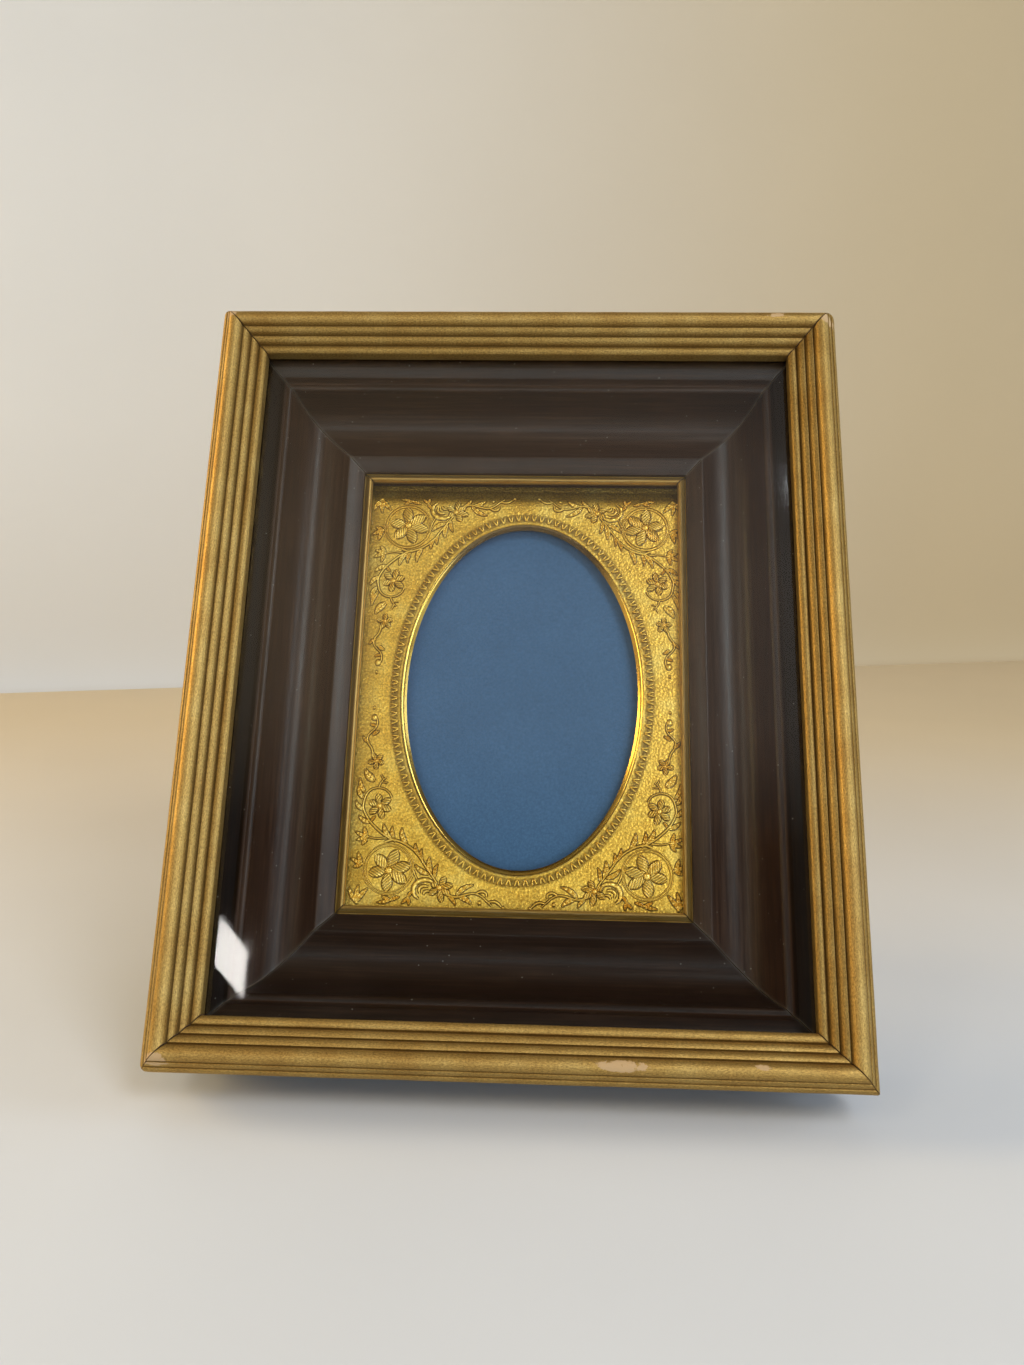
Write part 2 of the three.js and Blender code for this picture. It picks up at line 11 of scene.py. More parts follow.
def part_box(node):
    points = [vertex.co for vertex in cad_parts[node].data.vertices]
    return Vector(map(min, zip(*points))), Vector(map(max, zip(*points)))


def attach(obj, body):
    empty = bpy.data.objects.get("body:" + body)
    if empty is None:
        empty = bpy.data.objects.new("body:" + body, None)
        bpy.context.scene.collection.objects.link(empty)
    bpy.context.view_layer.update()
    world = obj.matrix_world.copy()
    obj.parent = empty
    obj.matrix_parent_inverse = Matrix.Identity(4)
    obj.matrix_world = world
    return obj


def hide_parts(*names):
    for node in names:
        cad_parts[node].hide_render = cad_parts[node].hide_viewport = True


bl_info = {
    "name": "Shadow-box picture frame",
    "version": (1, 0, 0),
    "blender": (4, 5, 0),
    "location": "View3D > Sidebar > Picture frame",
    "description": "Dresses the packed frame with its mouldings, stamped brass mat, glass, card and back",
    "category": "Object",
}

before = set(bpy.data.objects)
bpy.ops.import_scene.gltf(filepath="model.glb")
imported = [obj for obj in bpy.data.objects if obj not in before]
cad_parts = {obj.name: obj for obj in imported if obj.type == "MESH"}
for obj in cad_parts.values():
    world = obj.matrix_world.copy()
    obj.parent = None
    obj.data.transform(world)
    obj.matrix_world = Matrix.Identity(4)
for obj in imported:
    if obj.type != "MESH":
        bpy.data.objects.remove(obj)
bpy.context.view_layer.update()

MM = 0.001

# The face: its origin is the frame's middle on the seat of the glass, and its axes are right, up and out.
LEAN = math.radians(25)
ACROSS = np.array((1.0, 0.0, 0.0))
UP = np.array((0.0, math.sin(LEAN), math.cos(LEAN)))
OUT = np.array((0.0, -math.cos(LEAN), math.sin(LEAN)))
GLASS_MIDDLE = 1.3
glass_low, glass_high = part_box("glass_pane")
FACE = np.array((glass_low + glass_high) / 2) + OUT * GLASS_MIDDLE * MM

SIDES = ("top", "left", "bottom", "right")
CORNERS = {"top_left": (-1, 1), "top_right": (1, 1), "bottom_left": (-1, -1), "bottom_right": (1, -1)}

# Gold rail's section, in millimetres: inset from the outside edge, height over the seat of the glass.
GOLD_RABBET = 6.95
GOLD_BACK = -6.5
GOLD_SIDE = 3.0
FILLET_COUNT = 2
FILLET_INSET = 1.15
FILLET_RISE = 1.6
GROOVE = 0.3
BEAD_RADIUS = 1.7
REED_WIDTH = 1.75
REED_DROPS = (1.45, 1.45, 0.6)
REED_CROWN = 0.42

# Dark liner's section: the glass step, two fillets, a small hollow bead, the deep cove and the sight strip.
LINER_BACK = -25.2
LINER_START = (
    (7.25, -2.6), (7.25, -6.8), (3.5, -6.8), (3.5, LINER_BACK), (31.35, LINER_BACK),
    (31.35, -16.7), (33.35, -16.7), (33.35, -15.6), (29.55, -14.0),
)
COVE = ((29.55, -14.0), (20.48, -19.6), (17.55, -14.0), (15.95, -7.1))
QUIRK = (14.35, -6.1)
QUIRK_HOLLOW = -0.533
LINER_END = ((13.9, -5.3), (13.55, -4.3), (9.95, -2.6))

# Gilt slip's section: a flange behind the liner, a dark slope and a rounded nose.
SLIP_START = ((31.65, -17.0), (31.65, -17.8), (35.35, -17.8), (35.35, -16.4))
SLIP_NOSE = ((35.35, -16.4), (35.35, -15.6), (34.55, -15.6))
SLIP_END = ((33.65, -16.5), (33.65, -17.0))

# How round each section's sharp edges have worn, in millimetres. A corner is rounded over at most a share of
# its edges, and left as it is where they run on nearly straight, by the cosine of the angle between them.
GOLD_ROUND = 0.18
LINER_ROUND = 0.22
SLIP_ROUND = 0.12
ROUND_SHARE = 0.4
NEARLY_STRAIGHT = -0.85

# Points along the gold rail's bead, steps along the liner's cove and along the slip's nose.
BEAD_POINTS = 15
COVE_STEPS = 26
NOSE_STEPS = 8

# Faces of a rail that lie wholly behind these heights are raw wood.
GOLD_RAW = GOLD_BACK + 0.01
LINER_RAW = LINER_BACK + 0.01
SLIP_RAW = -17.75

# Places along a rail in millimetres from its mitre, how far from the mitre the even ones between them start,
# and the half length of rail that each of those stands for.
STATIONS_NEAR = (0, 0.15, 0.35, 0.7, 1.1, 1.6, 2.2, 3.0, 4.0, 5.5)
STATIONS_START = 7.5
STATION_SHARE = 2.2
# How soon a mitre's line fades along the rail, in millimetres.
MITRE_FADE = 0.22

# How strongly each rail shows its colour, outside an inset and from there inwards: a gold rail's bead and its
# reeds, and the liner's steps by the glass and its cove. This is painted light and shade: a rail's colour is
# made brighter or darker by side and by part for how the light falls on it.
REED_INSET = 5.8
GOLD_PAINTED_LIGHT_SHADE = {"top": (1.08, 0.86), "left": (1.15, 0.96), "bottom": (1.14, 1.13), "right": (1.06, 0.8)}
COVE_INSET = 14.2
# Painted shade: each liner rail is darkened by side, and its steps by the glass most, as in the gold lip's
# shadow.
LINER_PAINTED_SHADE = {"top": (0.6, 0.65), "left": (0.15, 0.75), "bottom": (0.4, 0.42), "right": (0.2, 0.75)}

# How far each corner of the gold rails has worn round, in millimetres.
CORNER_WEAR = {"top_left": 1.4, "top_right": 2.2, "bottom_left": 1.6, "bottom_right": 0.5}

# Patches where the bronze paint has worn off: right, up, half length and half width, in millimetres.
WORN_PATCHES = (
    (22.9, -83.4, 5.5, 1.3), (40.9, -83.2, 1.2, 0.8), (49.5, -82.9, 1.6, 0.8), (-69.4, -84.9, 2.6, 1.6),
    (59.7, 83.9, 2.6, 0.9), (-70.4, 84.2, 1.8, 1.2), (70.9, 83.2, 2.0, 1.4),
)

# A patch's wear at its middle before it is cut off, and the most that it comes to.
WEAR_START = 1.3
WEAR_MOST = 0.6

# Dents in the gold rails: length and width in millimetres, how much finer the small ones are, their share of
# the depth, and how far apart in the pattern the four rails lie.
DENT_LENGTH = 6
DENT_WIDTH = 3
DENT_FINE = 3.1
DENT_FINE_SHARE = 0.35
DENT_SHIFT = 40

# Brass mat: its middle on the face, and the depth of its front behind the seat of the glass.
MAT_MIDDLE = (0.7, -1.5)
MAT_FRONT = -18.1
MAT_SHEET = 0.35
MAT_DEPTH = 3.0
# The sheet's top edge bends back as a flange: its width, the radius of the bend, its slope and the painted
# shade on it, darker the further back it bends.
FLANGE_WIDTH = 6.9
FLANGE_BEND = 4.5
FLANGE_SLOPE = math.radians(28)
FLANGE_PAINTED_SHADE = 0.55
# Painted shade darkens the sheet along its left and bottom edges: strength there, and how far in it fades
# away.
LEFT_PAINTED_SHADE = 0.55
LOW_PAINTED_SHADE = 0.45
PAINTED_SHADE_REACH = 8.0
# The sheet's back is evenly dull.
BACK_TARNISH = 0.3
# Points round the oval, rows of them over the ground, crowded towards its edge, and rows behind it.
OVAL_STEPS = 360
GROUND_ROWS = 64
GROUND_CROWDING = 1.4
BACK_ROWS = 10
# Rim round the oval, from the foot of its bevel over its crest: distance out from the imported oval's edge and
# height over the mat's ground, in millimetres, and the same for the back of the bevel.
RIM_PROFILE = (
    (0.42, -0.7), (0.55, -0.6), (0.73, -0.46), (0.93, -0.31), (1.15, -0.15), (1.38, -0.05), (1.48, -0.04),
    (1.55, 0.05), (1.65, 0.11), (1.75, 0.05), (1.82, 0.0), (1.9, 0.0),
)
RIM_BACK = ((0.9, -0.7), (0.5, -1.0))
RIM_POLISHED = 1.78
RIM_CREASE = (1.42, 1.52)
# The rim is painted dark at the top of the oval, up to near its crest, and duller on its lower left: painted
# shade over its reflections there.
RIM_TOP_REACH = 1.6
RIM_TOP_PAINTED_SHADE = 0.97
RIM_LOW_PAINTED_SHADE = 0.6
RIM_CREASE_TARNISH = 0.5
# Tarnish and painted shade on the ground under and between the teeth: distance out from the oval's edge and
# strength.
TOOTH_TARNISH_AND_SHADE = ((2.1, 0.05), (2.4, 0.4), (3.0, 0.62), (4.0, 0.58), (4.4, 0.3), (4.7, 0.0))
# Ring of teeth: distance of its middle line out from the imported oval's edge, height of a tooth through the
# sheet, and how far each leg stands to its side and leans.
TOOTH_OFFSET = 3.35
TOOTH_HEIGHT = 1.15
LEG_SIDE = 0.33
LEG_LEAN = math.radians(17)
# Raised work: depth of its edges under the ground, width of the wall down to them, and the width and height
# of the dark line round it, tarnish and painted shade.
RELIEF_SINK = -0.08
RELIEF_WALL = 0.02
CREASE_WIDTH = 0.18
CREASE_HEIGHT = 0.015
# Ribs on the petals: millimetres along a petal for each millimetre across it, share of the petal's height
# that the grooves between them take, and strength of the tarnish and painted shade in them.
RIB_LEAN = 1.1
RIB_DEPTH = 0.5
RIB_LINE = 0.95
# Points round a ring, steps between two points of a curve, and dots round a flower's heart.
RING_POINTS = 72
SPLINE_STEPS = 12
HEART_DOTS = 8


def linear(code):
    """A linear colour with full alpha from an sRGB hex code."""
    parts = [int(code[i : i + 2], 16) / 255 for i in (0, 2, 4)]
    return (*[c / 12.92 if c <= 0.04045 else ((c + 0.055) / 1.055) ** 2.4 for c in parts], 1.0)


def place(points):
    """Points on the face in millimetres (right, up, out) as points of the shared frame in metres."""
    return FACE + np.asarray(points, float) @ np.array((ACROSS, UP, OUT)) * MM


def colour(name, description, code):
    """A colour that a user may change."""
    return bpy.props.FloatVectorProperty(
        name=name, description=description, subtype="COLOR", size=4, min=0, max=1, default=linear(code)
    )


def length(name, description, millimetres):
    """A length that a user may change, held in metres."""
    return bpy.props.FloatProperty(
        name=name, description=description, unit="LENGTH", precision=4, min=0, default=millimetres * MM
    )


class FrameSizes(bpy.types.PropertyGroup):
    """Sizes of the frame's mouldings."""

    width: length("Width", "Across the gold rails, outside", 146.6)
    height: length("Height", "Up the gold rails, outside", 175.1)
    mitre_gap: length("Mitre gap", "Open line between two rails at a corner", 0.2)
    dents: length("Dents", "Deepest unevenness of the worn gold rails", 0.09)


class MatSizes(bpy.types.PropertyGroup):
    """Sizes of the stamped brass mat."""

    width: length("Width", "Across the sheet", 81.9)
    height: length("Height", "Up the sheet", 108.8)
    oval_width: length("Oval width", "Across the opening", 54.1)
    oval_height: length("Oval height", "Up the opening", 82.9)
    tooth_length: length("Tooth length", "Length of a tooth of the ring round the oval", 2.15)
    tooth_leg: length("Tooth leg", "Width of each of a tooth's two legs", 0.52)
    relief: length("Relief", "Height of the stamped flowers over the ground", 0.65)
    teeth: bpy.props.IntProperty(name="Teeth", description="Teeth round the oval", default=124, min=12)


class FinishColours(bpy.types.PropertyGroup):
    """Colours of the finishes."""

    bronze: colour("Bronze paint", "Gold bronze paint on the outer rails", "9C7E44")
    bronze_dirt: colour("Bronze dirt", "Old paint and dirt in the grooves", "523B18")
    bare: colour("Bare ground", "Pale ground where the paint has worn off", "B4966E")
    walnut: colour("Walnut stain", "Dark stained wood of the liner", "3A2317")
    walnut_grain: colour("Walnut grain", "Lighter streaks of its grain", "4C3222")
    gilt: colour("Gilt", "Burnished gilt of the slip", "F4BE5C")
    brass: colour("Brass", "Stamped brass of the mat", "F6C650")
    brass_dark: colour("Brass patina", "Tarnish in the mat's creases", "4E3612")
    card: colour("Blue card", "Card behind the oval", "3F6186")
    hardboard: colour("Hardboard", "Backing board and strut", "6B4A32")
    raw_wood: colour("Raw wood", "Unfinished backs of the rails", "8A6B4A")
    zinc: colour("Zinc plate", "Bracket, pin, rivets and nails", "A9A8A4")
    plated: colour("Brass plate", "Turn buttons and their screws", "C8A356")
    # The table's and wall's two tones are painted light: cool in front and on the left, warmer behind, and
    # warmer and darker on the right.
    table: colour("Table", "Pale table top, in front", "D7DCE3")
    table_back_painted_light: colour("Table at the back", "Pale table top, near the wall", "D8C7A8")
    wall: colour("Wall", "Cream wall, on the left", "D9D8D4")
    wall_right_painted_shade: colour("Wall on the right", "Cream wall, on the right", "BCA986")


def add(tree, kind, inputs=None, stops=(), **settings):
    """Adds a node with its settings, values and links.

    Inputs go by name or number: a map range takes a value (0), the range that it runs over (1, 2) and the one
    that it goes over to (3, 4). An input that is a node is linked from its first live output, and one that is
    a socket from that socket. Stops are the places and colours of a colour ramp.
    """
    node = tree.nodes.new(kind)
    for name, value in settings.items():
        setattr(node, name, value)
    for key, value in (inputs or {}).items():
        if isinstance(value, bpy.types.Node):
            value = next(socket for socket in value.outputs if socket.enabled)
        if isinstance(value, bpy.types.NodeSocket):
            tree.links.new(value, node.inputs[key])
        else:
            node.inputs[key].default_value = value
    if stops:
        elements = node.color_ramp.elements
        while len(elements) < len(stops):
            elements.new(0.5)
        for element, (position, tone) in zip(elements, stops):
            element.position = position
            element.color = tone
    return node


def new_material(name):
    """An empty node material and its tree."""
    material = bpy.data.materials.new(name)
    material.use_nodes = True
    material.node_tree.nodes.clear()
    return material, material.node_tree


def surface(tree, inputs, relief=None, strength=0.0, depth=0.0):
    """Closes a material with a principled surface, and a bump this many millimetres deep if it has relief."""
    if relief is not None:
        bump = {"Height": relief, "Strength": strength, "Distance": depth * MM}
        inputs = {**inputs, "Normal": add(tree, "ShaderNodeBump", bump)}
    shader = add(tree, "ShaderNodeBsdfPrincipled", inputs)
    add(tree, "ShaderNodeOutputMaterial", {"Surface": shader})


def bronze_paint(colours):
    """Bronze powder paint: a grainy olive-gold sheen, dark in the grooves, worn to its ground on edges."""
    material, tree = new_material("bronze_paint")
    rail = add(tree, "ShaderNodeUVMap", uv_map="rail")
    hollow, worn, mitre, strength = (
        add(tree, "ShaderNodeAttribute", attribute_name=name).outputs["Fac"]
        for name in ("hollow", "worn", "mitre", "strength")
    )
    along = add(tree, "ShaderNodeMapping", {"Vector": rail, "Scale": (0.35, 2.2, 1)})
    brush = add(tree, "ShaderNodeTexNoise", {"Vector": along, "Scale": 1.0, "Detail": 5, "Roughness": 0.6})
    blotch = add(tree, "ShaderNodeTexNoise", {"Vector": rail, "Scale": 0.12, "Detail": 4})
    # Bronze powder is too fine to show, so its grains are specks about 0.6 mm long, drawn out by the brush.
    flakes = add(tree, "ShaderNodeMapping", {"Vector": rail, "Scale": (1.7, 3.2, 1)})
    grain = add(tree, "ShaderNodeTexNoise", {"Vector": flakes, "Scale": 1.0, "Detail": 3, "Roughness": 0.75})
    dirt = add(tree, "ShaderNodeMath", {0: hollow, 1: 1.7}, operation="MULTIPLY")
    dirt = add(tree, "ShaderNodeMath", {0: dirt, 1: mitre}, operation="MAXIMUM")
    even = add(tree, "ShaderNodeMapRange", {0: brush, 1: 0.3, 2: 0.7, 3: 0.46, 4: 0.54})
    dirt = add(tree, "ShaderNodeMath", {0: dirt, 1: even, 2: -0.12}, operation="MULTIPLY_ADD", use_clamp=True)
    tone = add(tree, "ShaderNodeValToRGB", {"Fac": blotch}, (
        (0.3, linear("94743C")), (0.5, colours.bronze[:]), (0.7, linear("A4884E")),
    ))
    streak = add(tree, "ShaderNodeMapRange", {0: brush, 1: 0.3, 2: 0.7, 3: 0.92, 4: 1.06})
    glitter = add(tree, "ShaderNodeMapRange", {0: grain, 1: 0.35, 2: 0.68, 3: 0.6, 4: 1.42})
    # The strength mark is painted light and shade: it brightens or darkens the paint by side and by part.
    for scale in (streak, strength, glitter):
        tone = add(tree, "ShaderNodeVectorMath", {0: tone, "Scale": scale}, operation="SCALE")
    dirty = {"Factor": dirt, "A": tone, "B": colours.bronze_dirt[:]}
    tone = add(tree, "ShaderNodeMix", dirty, data_type="RGBA")
    edge = add(tree, "ShaderNodeMath", {0: hollow, 1: -0.35, 2: 0.05}, operation="MULTIPLY_ADD")
    edge = add(tree, "ShaderNodeMath", {0: edge, 1: worn}, operation="ADD")
    chips = add(tree, "ShaderNodeTexNoise", {"Vector": rail, "Scale": 0.8, "Detail": 6, "Roughness": 0.65})
    lost = add(tree, "ShaderNodeMath", {0: edge, 1: chips}, operation="ADD")
    lost = add(tree, "ShaderNodeMapRange", {0: lost, 1: 1.02, 2: 1.1, 3: 0.0, 4: 1.0})
    tone = add(tree, "ShaderNodeMix", {"Factor": lost, "A": tone, "B": colours.bare[:]}, data_type="RGBA")
    metal = add(tree, "ShaderNodeMapRange", {0: lost, 1: 0.0, 2: 1.0, 3: 0.75, 4: 0.0})
    rough = add(tree, "ShaderNodeMapRange", {0: grain, 1: 0.3, 2: 0.7, 3: 0.55, 4: 0.38})
    rough = add(tree, "ShaderNodeMath", {0: lost, 1: 0.35, 2: rough}, operation="MULTIPLY_ADD")
    relief = add(tree, "ShaderNodeMath", {0: brush, 1: 0.6, 2: grain}, operation="MULTIPLY_ADD")
    surface(tree, {
        "Base Color": tone, "Metallic": metal, "Roughness": rough, "Specular Tint": linear("F8E4C2"),
    }, relief, 0.5, 0.1)
    return material


def walnut_varnish(colours):
    """Dark stained walnut under satin varnish: fine grain, soft sheen, dust, pale glue at mitres."""
    material, tree = new_material("stained_walnut_satin_varnish")
    rail = add(tree, "ShaderNodeUVMap", uv_map="rail")
    hollow, mitre, strength = (
        add(tree, "ShaderNodeAttribute", attribute_name=name).outputs["Fac"]
        for name in ("hollow", "mitre", "strength")
    )
    along = add(tree, "ShaderNodeMapping", {"Vector": rail, "Scale": (0.05, 1.6, 1)})
    grain = add(tree, "ShaderNodeTexNoise", {"Vector": along, "Scale": 1.0, "Detail": 6, "Roughness": 0.62})
    blotch = add(tree, "ShaderNodeTexNoise", {"Vector": rail, "Scale": 0.06, "Detail": 3})
    mixed = add(tree, "ShaderNodeMath", {0: blotch, 1: 0.35, 2: grain}, operation="MULTIPLY_ADD")
    tone = add(tree, "ShaderNodeValToRGB", {"Fac": mixed}, (
        (0.5, linear("2E1B12")), (0.68, colours.walnut[:]), (0.86, colours.walnut_grain[:]),
    ))
    # The strength mark is painted shade: it darkens the stain by side, and the steps by the glass most.
    tone = add(tree, "ShaderNodeVectorMath", {0: tone, "Scale": strength}, operation="SCALE")
    # Specks of dust lie about 3 mm apart.
    specks = add(tree, "ShaderNodeTexVoronoi", {"Vector": rail, "Scale": 0.36, "Randomness": 1.0})
    dust = add(tree, "ShaderNodeMapRange", {0: specks, 1: 0.07, 2: 0.03, 3: 0.0, 4: 1.0})
    pale = add(tree, "ShaderNodeMath", {0: mitre, 1: 0.2}, operation="MULTIPLY")
    pale = add(tree, "ShaderNodeMath", {0: dust, 1: 0.5, 2: pale}, operation="MULTIPLY_ADD", use_clamp=True)
    tone = add(tree, "ShaderNodeMix", {"Factor": pale, "A": tone, "B": linear("A09A92")}, data_type="RGBA")
    rubbed = add(tree, "ShaderNodeMath", {0: hollow, 1: -0.3}, operation="MULTIPLY", use_clamp=True)
    lighter = {"Factor": rubbed, "A": tone, "B": colours.walnut_grain[:]}
    tone = add(tree, "ShaderNodeMix", lighter, data_type="RGBA")
    rough = add(tree, "ShaderNodeMapRange", {0: grain, 1: 0.3, 2: 0.7, 3: 0.28, 4: 0.42})
    sheen = add(tree, "ShaderNodeMapRange", {0: strength, 1: 0.15, 2: 0.6, 3: 0.03, 4: 0.27})
    surface(tree, {
        "Base Color": tone, "Roughness": rough, "IOR": 1.5, "Specular IOR Level": sheen,
    }, grain, 0.18, 0.08)
    return material


def raw_wood(colours):
    """Sawn, unfinished wood on the backs of the rails: dusty brown with coarse lengthwise grain."""
    material, tree = new_material("sawn_raw_wood")
    rail = add(tree, "ShaderNodeUVMap", uv_map="rail")
    along = add(tree, "ShaderNodeMapping", {"Vector": rail, "Scale": (0.04, 0.9, 1)})
    grain = add(tree, "ShaderNodeTexNoise", {"Vector": along, "Scale": 1.0, "Detail": 7, "Roughness": 0.65})
    tone = add(tree, "ShaderNodeValToRGB", {"Fac": grain}, (
        (0.3, linear("5E452E")), (0.55, colours.raw_wood[:]), (0.75, linear("A08360")),
    ))
    surface(tree, {"Base Color": tone, "Roughness": 0.8, "IOR": 1.5}, grain, 0.4, 0.15)
    return material


def burnished_gilt(colours):
    """Burnished gilt over wood: bright warm gold with fine rubbed streaks and brown in the hollows."""
    material, tree = new_material("burnished_gilt")
    rail = add(tree, "ShaderNodeUVMap", uv_map="rail")
    hollow, mitre = (
        add(tree, "ShaderNodeAttribute", attribute_name=name).outputs["Fac"] for name in ("hollow", "mitre")
    )
    along = add(tree, "ShaderNodeMapping", {"Vector": rail, "Scale": (0.12, 3.0, 1)})
    streak = add(tree, "ShaderNodeTexNoise", {"Vector": along, "Scale": 1.0, "Detail": 5})
    tone = add(tree, "ShaderNodeValToRGB", {"Fac": streak}, (
        (0.3, linear("D09A42")), (0.5, colours.gilt[:]), (0.7, linear("F8D488")),
    ))
    dirt = add(tree, "ShaderNodeMath", {0: hollow, 1: mitre}, operation="MAXIMUM", use_clamp=True)
    tone = add(tree, "ShaderNodeMix", {"Factor": dirt, "A": tone, "B": linear("4A3418")}, data_type="RGBA")
    rough = add(tree, "ShaderNodeMapRange", {0: streak, 1: 0.3, 2: 0.7, 3: 0.28, 4: 0.42})
    surface(tree, {"Base Color": tone, "Metallic": 0.6, "Roughness": rough}, streak, 0.15, 0.05)
    return material


def stamped_brass(colours, name, stipple, metallic, roughness):
    """Die-stamped, lacquered brass: sparkling stipple on the ground, smooth raised work, brown creases."""
    material, tree = new_material(name)
    spot = add(tree, "ShaderNodeTexCoord").outputs["Object"]
    # The patina mark holds tarnish and painted shade: dark creases and the shaded edges of the sheet and rim.
    patina_and_shade = add(tree, "ShaderNodeAttribute", attribute_name="patina_and_shade").outputs["Fac"]
    # The die's dots are about half a millimetre apart.
    stippled = {"Vector": spot, "Scale": 1 / (0.5 * MM), "Randomness": 0.9}
    dots = add(tree, "ShaderNodeTexVoronoi", stippled, feature="SMOOTH_F1")
    blotch = add(tree, "ShaderNodeTexNoise", {"Vector": spot, "Scale": 1 / (7 * MM), "Detail": 5})
    tone = add(tree, "ShaderNodeValToRGB", {"Fac": blotch}, (
        (0.3, linear("E8B442")), (0.52, colours.brass[:]), (0.72, linear("FBD66C")),
    ))
    pits = add(tree, "ShaderNodeMapRange", {0: dots, 1: 0.0, 2: 0.6, 3: 0.0, 4: stipple})
    sparkle = add(tree, "ShaderNodeTexNoise", {"Vector": spot, "Scale": 1 / (0.45 * MM), "Detail": 2})
    brighter = 0.25 * stipple
    sparkle = {0: sparkle, 1: 0.35, 2: 0.65, 3: 1 - brighter, 4: 1 + brighter}
    sparkle = add(tree, "ShaderNodeMapRange", sparkle)
    tone = add(tree, "ShaderNodeVectorMath", {0: tone, "Scale": sparkle}, operation="SCALE")
    stain = {0: pits, 1: 0.22, 2: patina_and_shade}
    stain = add(tree, "ShaderNodeMath", stain, operation="MULTIPLY_ADD", use_clamp=True)
    dark = {"Factor": stain, "A": tone, "B": colours.brass_dark[:]}
    tone = add(tree, "ShaderNodeMix", dark, data_type="RGBA")
    rough = add(tree, "ShaderNodeMapRange", {0: blotch, 1: 0.3, 2: 0.7, 3: roughness[0], 4: roughness[1]})
    surface(tree, {
        "Base Color": tone, "Metallic": metallic, "Roughness": rough,
        "Coat Weight": 0.6, "Coat Roughness": 0.12,
    }, dots, 0.9 * stipple + 0.02, 0.17)
    return material


def picture_glass():
    """Old clear sheet glass: almost unseen, with a plain reflection and faint smears."""
    material, tree = new_material("clear_sheet_glass")
    spot = add(tree, "ShaderNodeTexCoord").outputs["Object"]
    smear = add(tree, "ShaderNodeTexNoise", {"Vector": spot, "Scale": 1 / (25 * MM), "Detail": 4})
    rough = add(tree, "ShaderNodeMapRange", {0: smear, 1: 0.4, 2: 0.75, 3: 0.02, 4: 0.1})
    clear = add(tree, "ShaderNodeBsdfTransparent", {"Color": linear("FAFCFB")})
    shine = add(tree, "ShaderNodeBsdfGlossy", {"Color": linear("FFFFFF"), "Roughness": rough})
    share = add(tree, "ShaderNodeFresnel", {"IOR": 1.5})
    # Rays leave the pane without bending, so only the faces that they enter by reflect.
    back = add(tree, "ShaderNodeNewGeometry").outputs["Backfacing"]
    front = add(tree, "ShaderNodeMath", {0: 1.0, 1: back}, operation="SUBTRACT")
    share = add(tree, "ShaderNodeMath", {0: share, 1: front}, operation="MULTIPLY")
    pane = add(tree, "ShaderNodeMixShader", {0: share, 1: clear, 2: shine})
    add(tree, "ShaderNodeOutputMaterial", {"Surface": pane})
    return material


def mount_card(colours):
    """Matt blue mount card: an even colour with a faint felt grain of short fibres."""
    material, tree = new_material("matt_mount_card")
    spot = add(tree, "ShaderNodeTexCoord").outputs["Object"]
    fibre = add(tree, "ShaderNodeTexNoise", {"Vector": spot, "Scale": 1 / (0.5 * MM), "Detail": 4})
    cloud = add(tree, "ShaderNodeTexNoise", {"Vector": spot, "Scale": 1 / (18 * MM), "Detail": 3})
    mixed = add(tree, "ShaderNodeMath", {0: cloud, 1: 0.4, 2: fibre}, operation="MULTIPLY_ADD")
    tone = add(tree, "ShaderNodeValToRGB", {"Fac": mixed}, (
        (0.45, linear("395A7D")), (0.7, colours.card[:]), (0.95, linear("476A90")),
    ))
    surface(tree, {"Base Color": tone, "Roughness": 0.85, "IOR": 1.45}, fibre, 0.3, 0.06)
    return material


def pressed_hardboard(colours):
    """Pressed hardboard, smooth side out: brown with fine dark fibres and a dull polish."""
    material, tree = new_material("pressed_hardboard")
    spot = add(tree, "ShaderNodeTexCoord").outputs["Object"]
    fibre = add(tree, "ShaderNodeTexNoise", {
        "Vector": spot, "Scale": 1 / (0.9 * MM), "Detail": 8, "Roughness": 0.7, "Distortion": 1.2,
    })
    cloud = add(tree, "ShaderNodeTexNoise", {"Vector": spot, "Scale": 1 / (22 * MM), "Detail": 4})
    mixed = add(tree, "ShaderNodeMath", {0: cloud, 1: 0.6, 2: fibre}, operation="MULTIPLY_ADD")
    tone = add(tree, "ShaderNodeValToRGB", {"Fac": mixed}, (
        (0.55, linear("4B3221")), (0.8, colours.hardboard[:]), (1.05, linear("86634A")),
    ))
    rough = add(tree, "ShaderNodeMapRange", {0: cloud, 1: 0.3, 2: 0.7, 3: 0.45, 4: 0.62})
    surface(tree, {"Base Color": tone, "Roughness": rough, "IOR": 1.5}, fibre, 0.25, 0.1)
    return material


def plated_metal(name, tone, dull, roughness):
    """Plated sheet metal: cool or yellow shine, dulled and roughened in clouds, with fine scratches."""
    material, tree = new_material(name)
    spot = add(tree, "ShaderNodeTexCoord").outputs["Object"]
    clouded = {"Vector": spot, "Scale": 1 / (4 * MM), "Detail": 6, "Roughness": 0.6}
    cloud = add(tree, "ShaderNodeTexNoise", clouded)
    # Scratches are 6 mm long and a quarter of a millimetre apart.
    drawn = (1 / (6 * MM), 1 / (0.25 * MM), 1 / (0.25 * MM))
    along = add(tree, "ShaderNodeMapping", {"Vector": spot, "Scale": drawn})
    scratch = add(tree, "ShaderNodeTexNoise", {"Vector": along, "Scale": 1.0, "Detail": 3})
    tone = add(tree, "ShaderNodeValToRGB", {"Fac": cloud}, ((0.35, dull), (0.6, tone)))
    dulled = {0: cloud, 1: 0.35, 2: 0.65, 3: roughness[0], 4: roughness[1]}
    rough = add(tree, "ShaderNodeMapRange", dulled)
    surface(tree, {"Base Color": tone, "Metallic": 1.0, "Roughness": rough}, scratch, 0.15, 0.04)
    return material


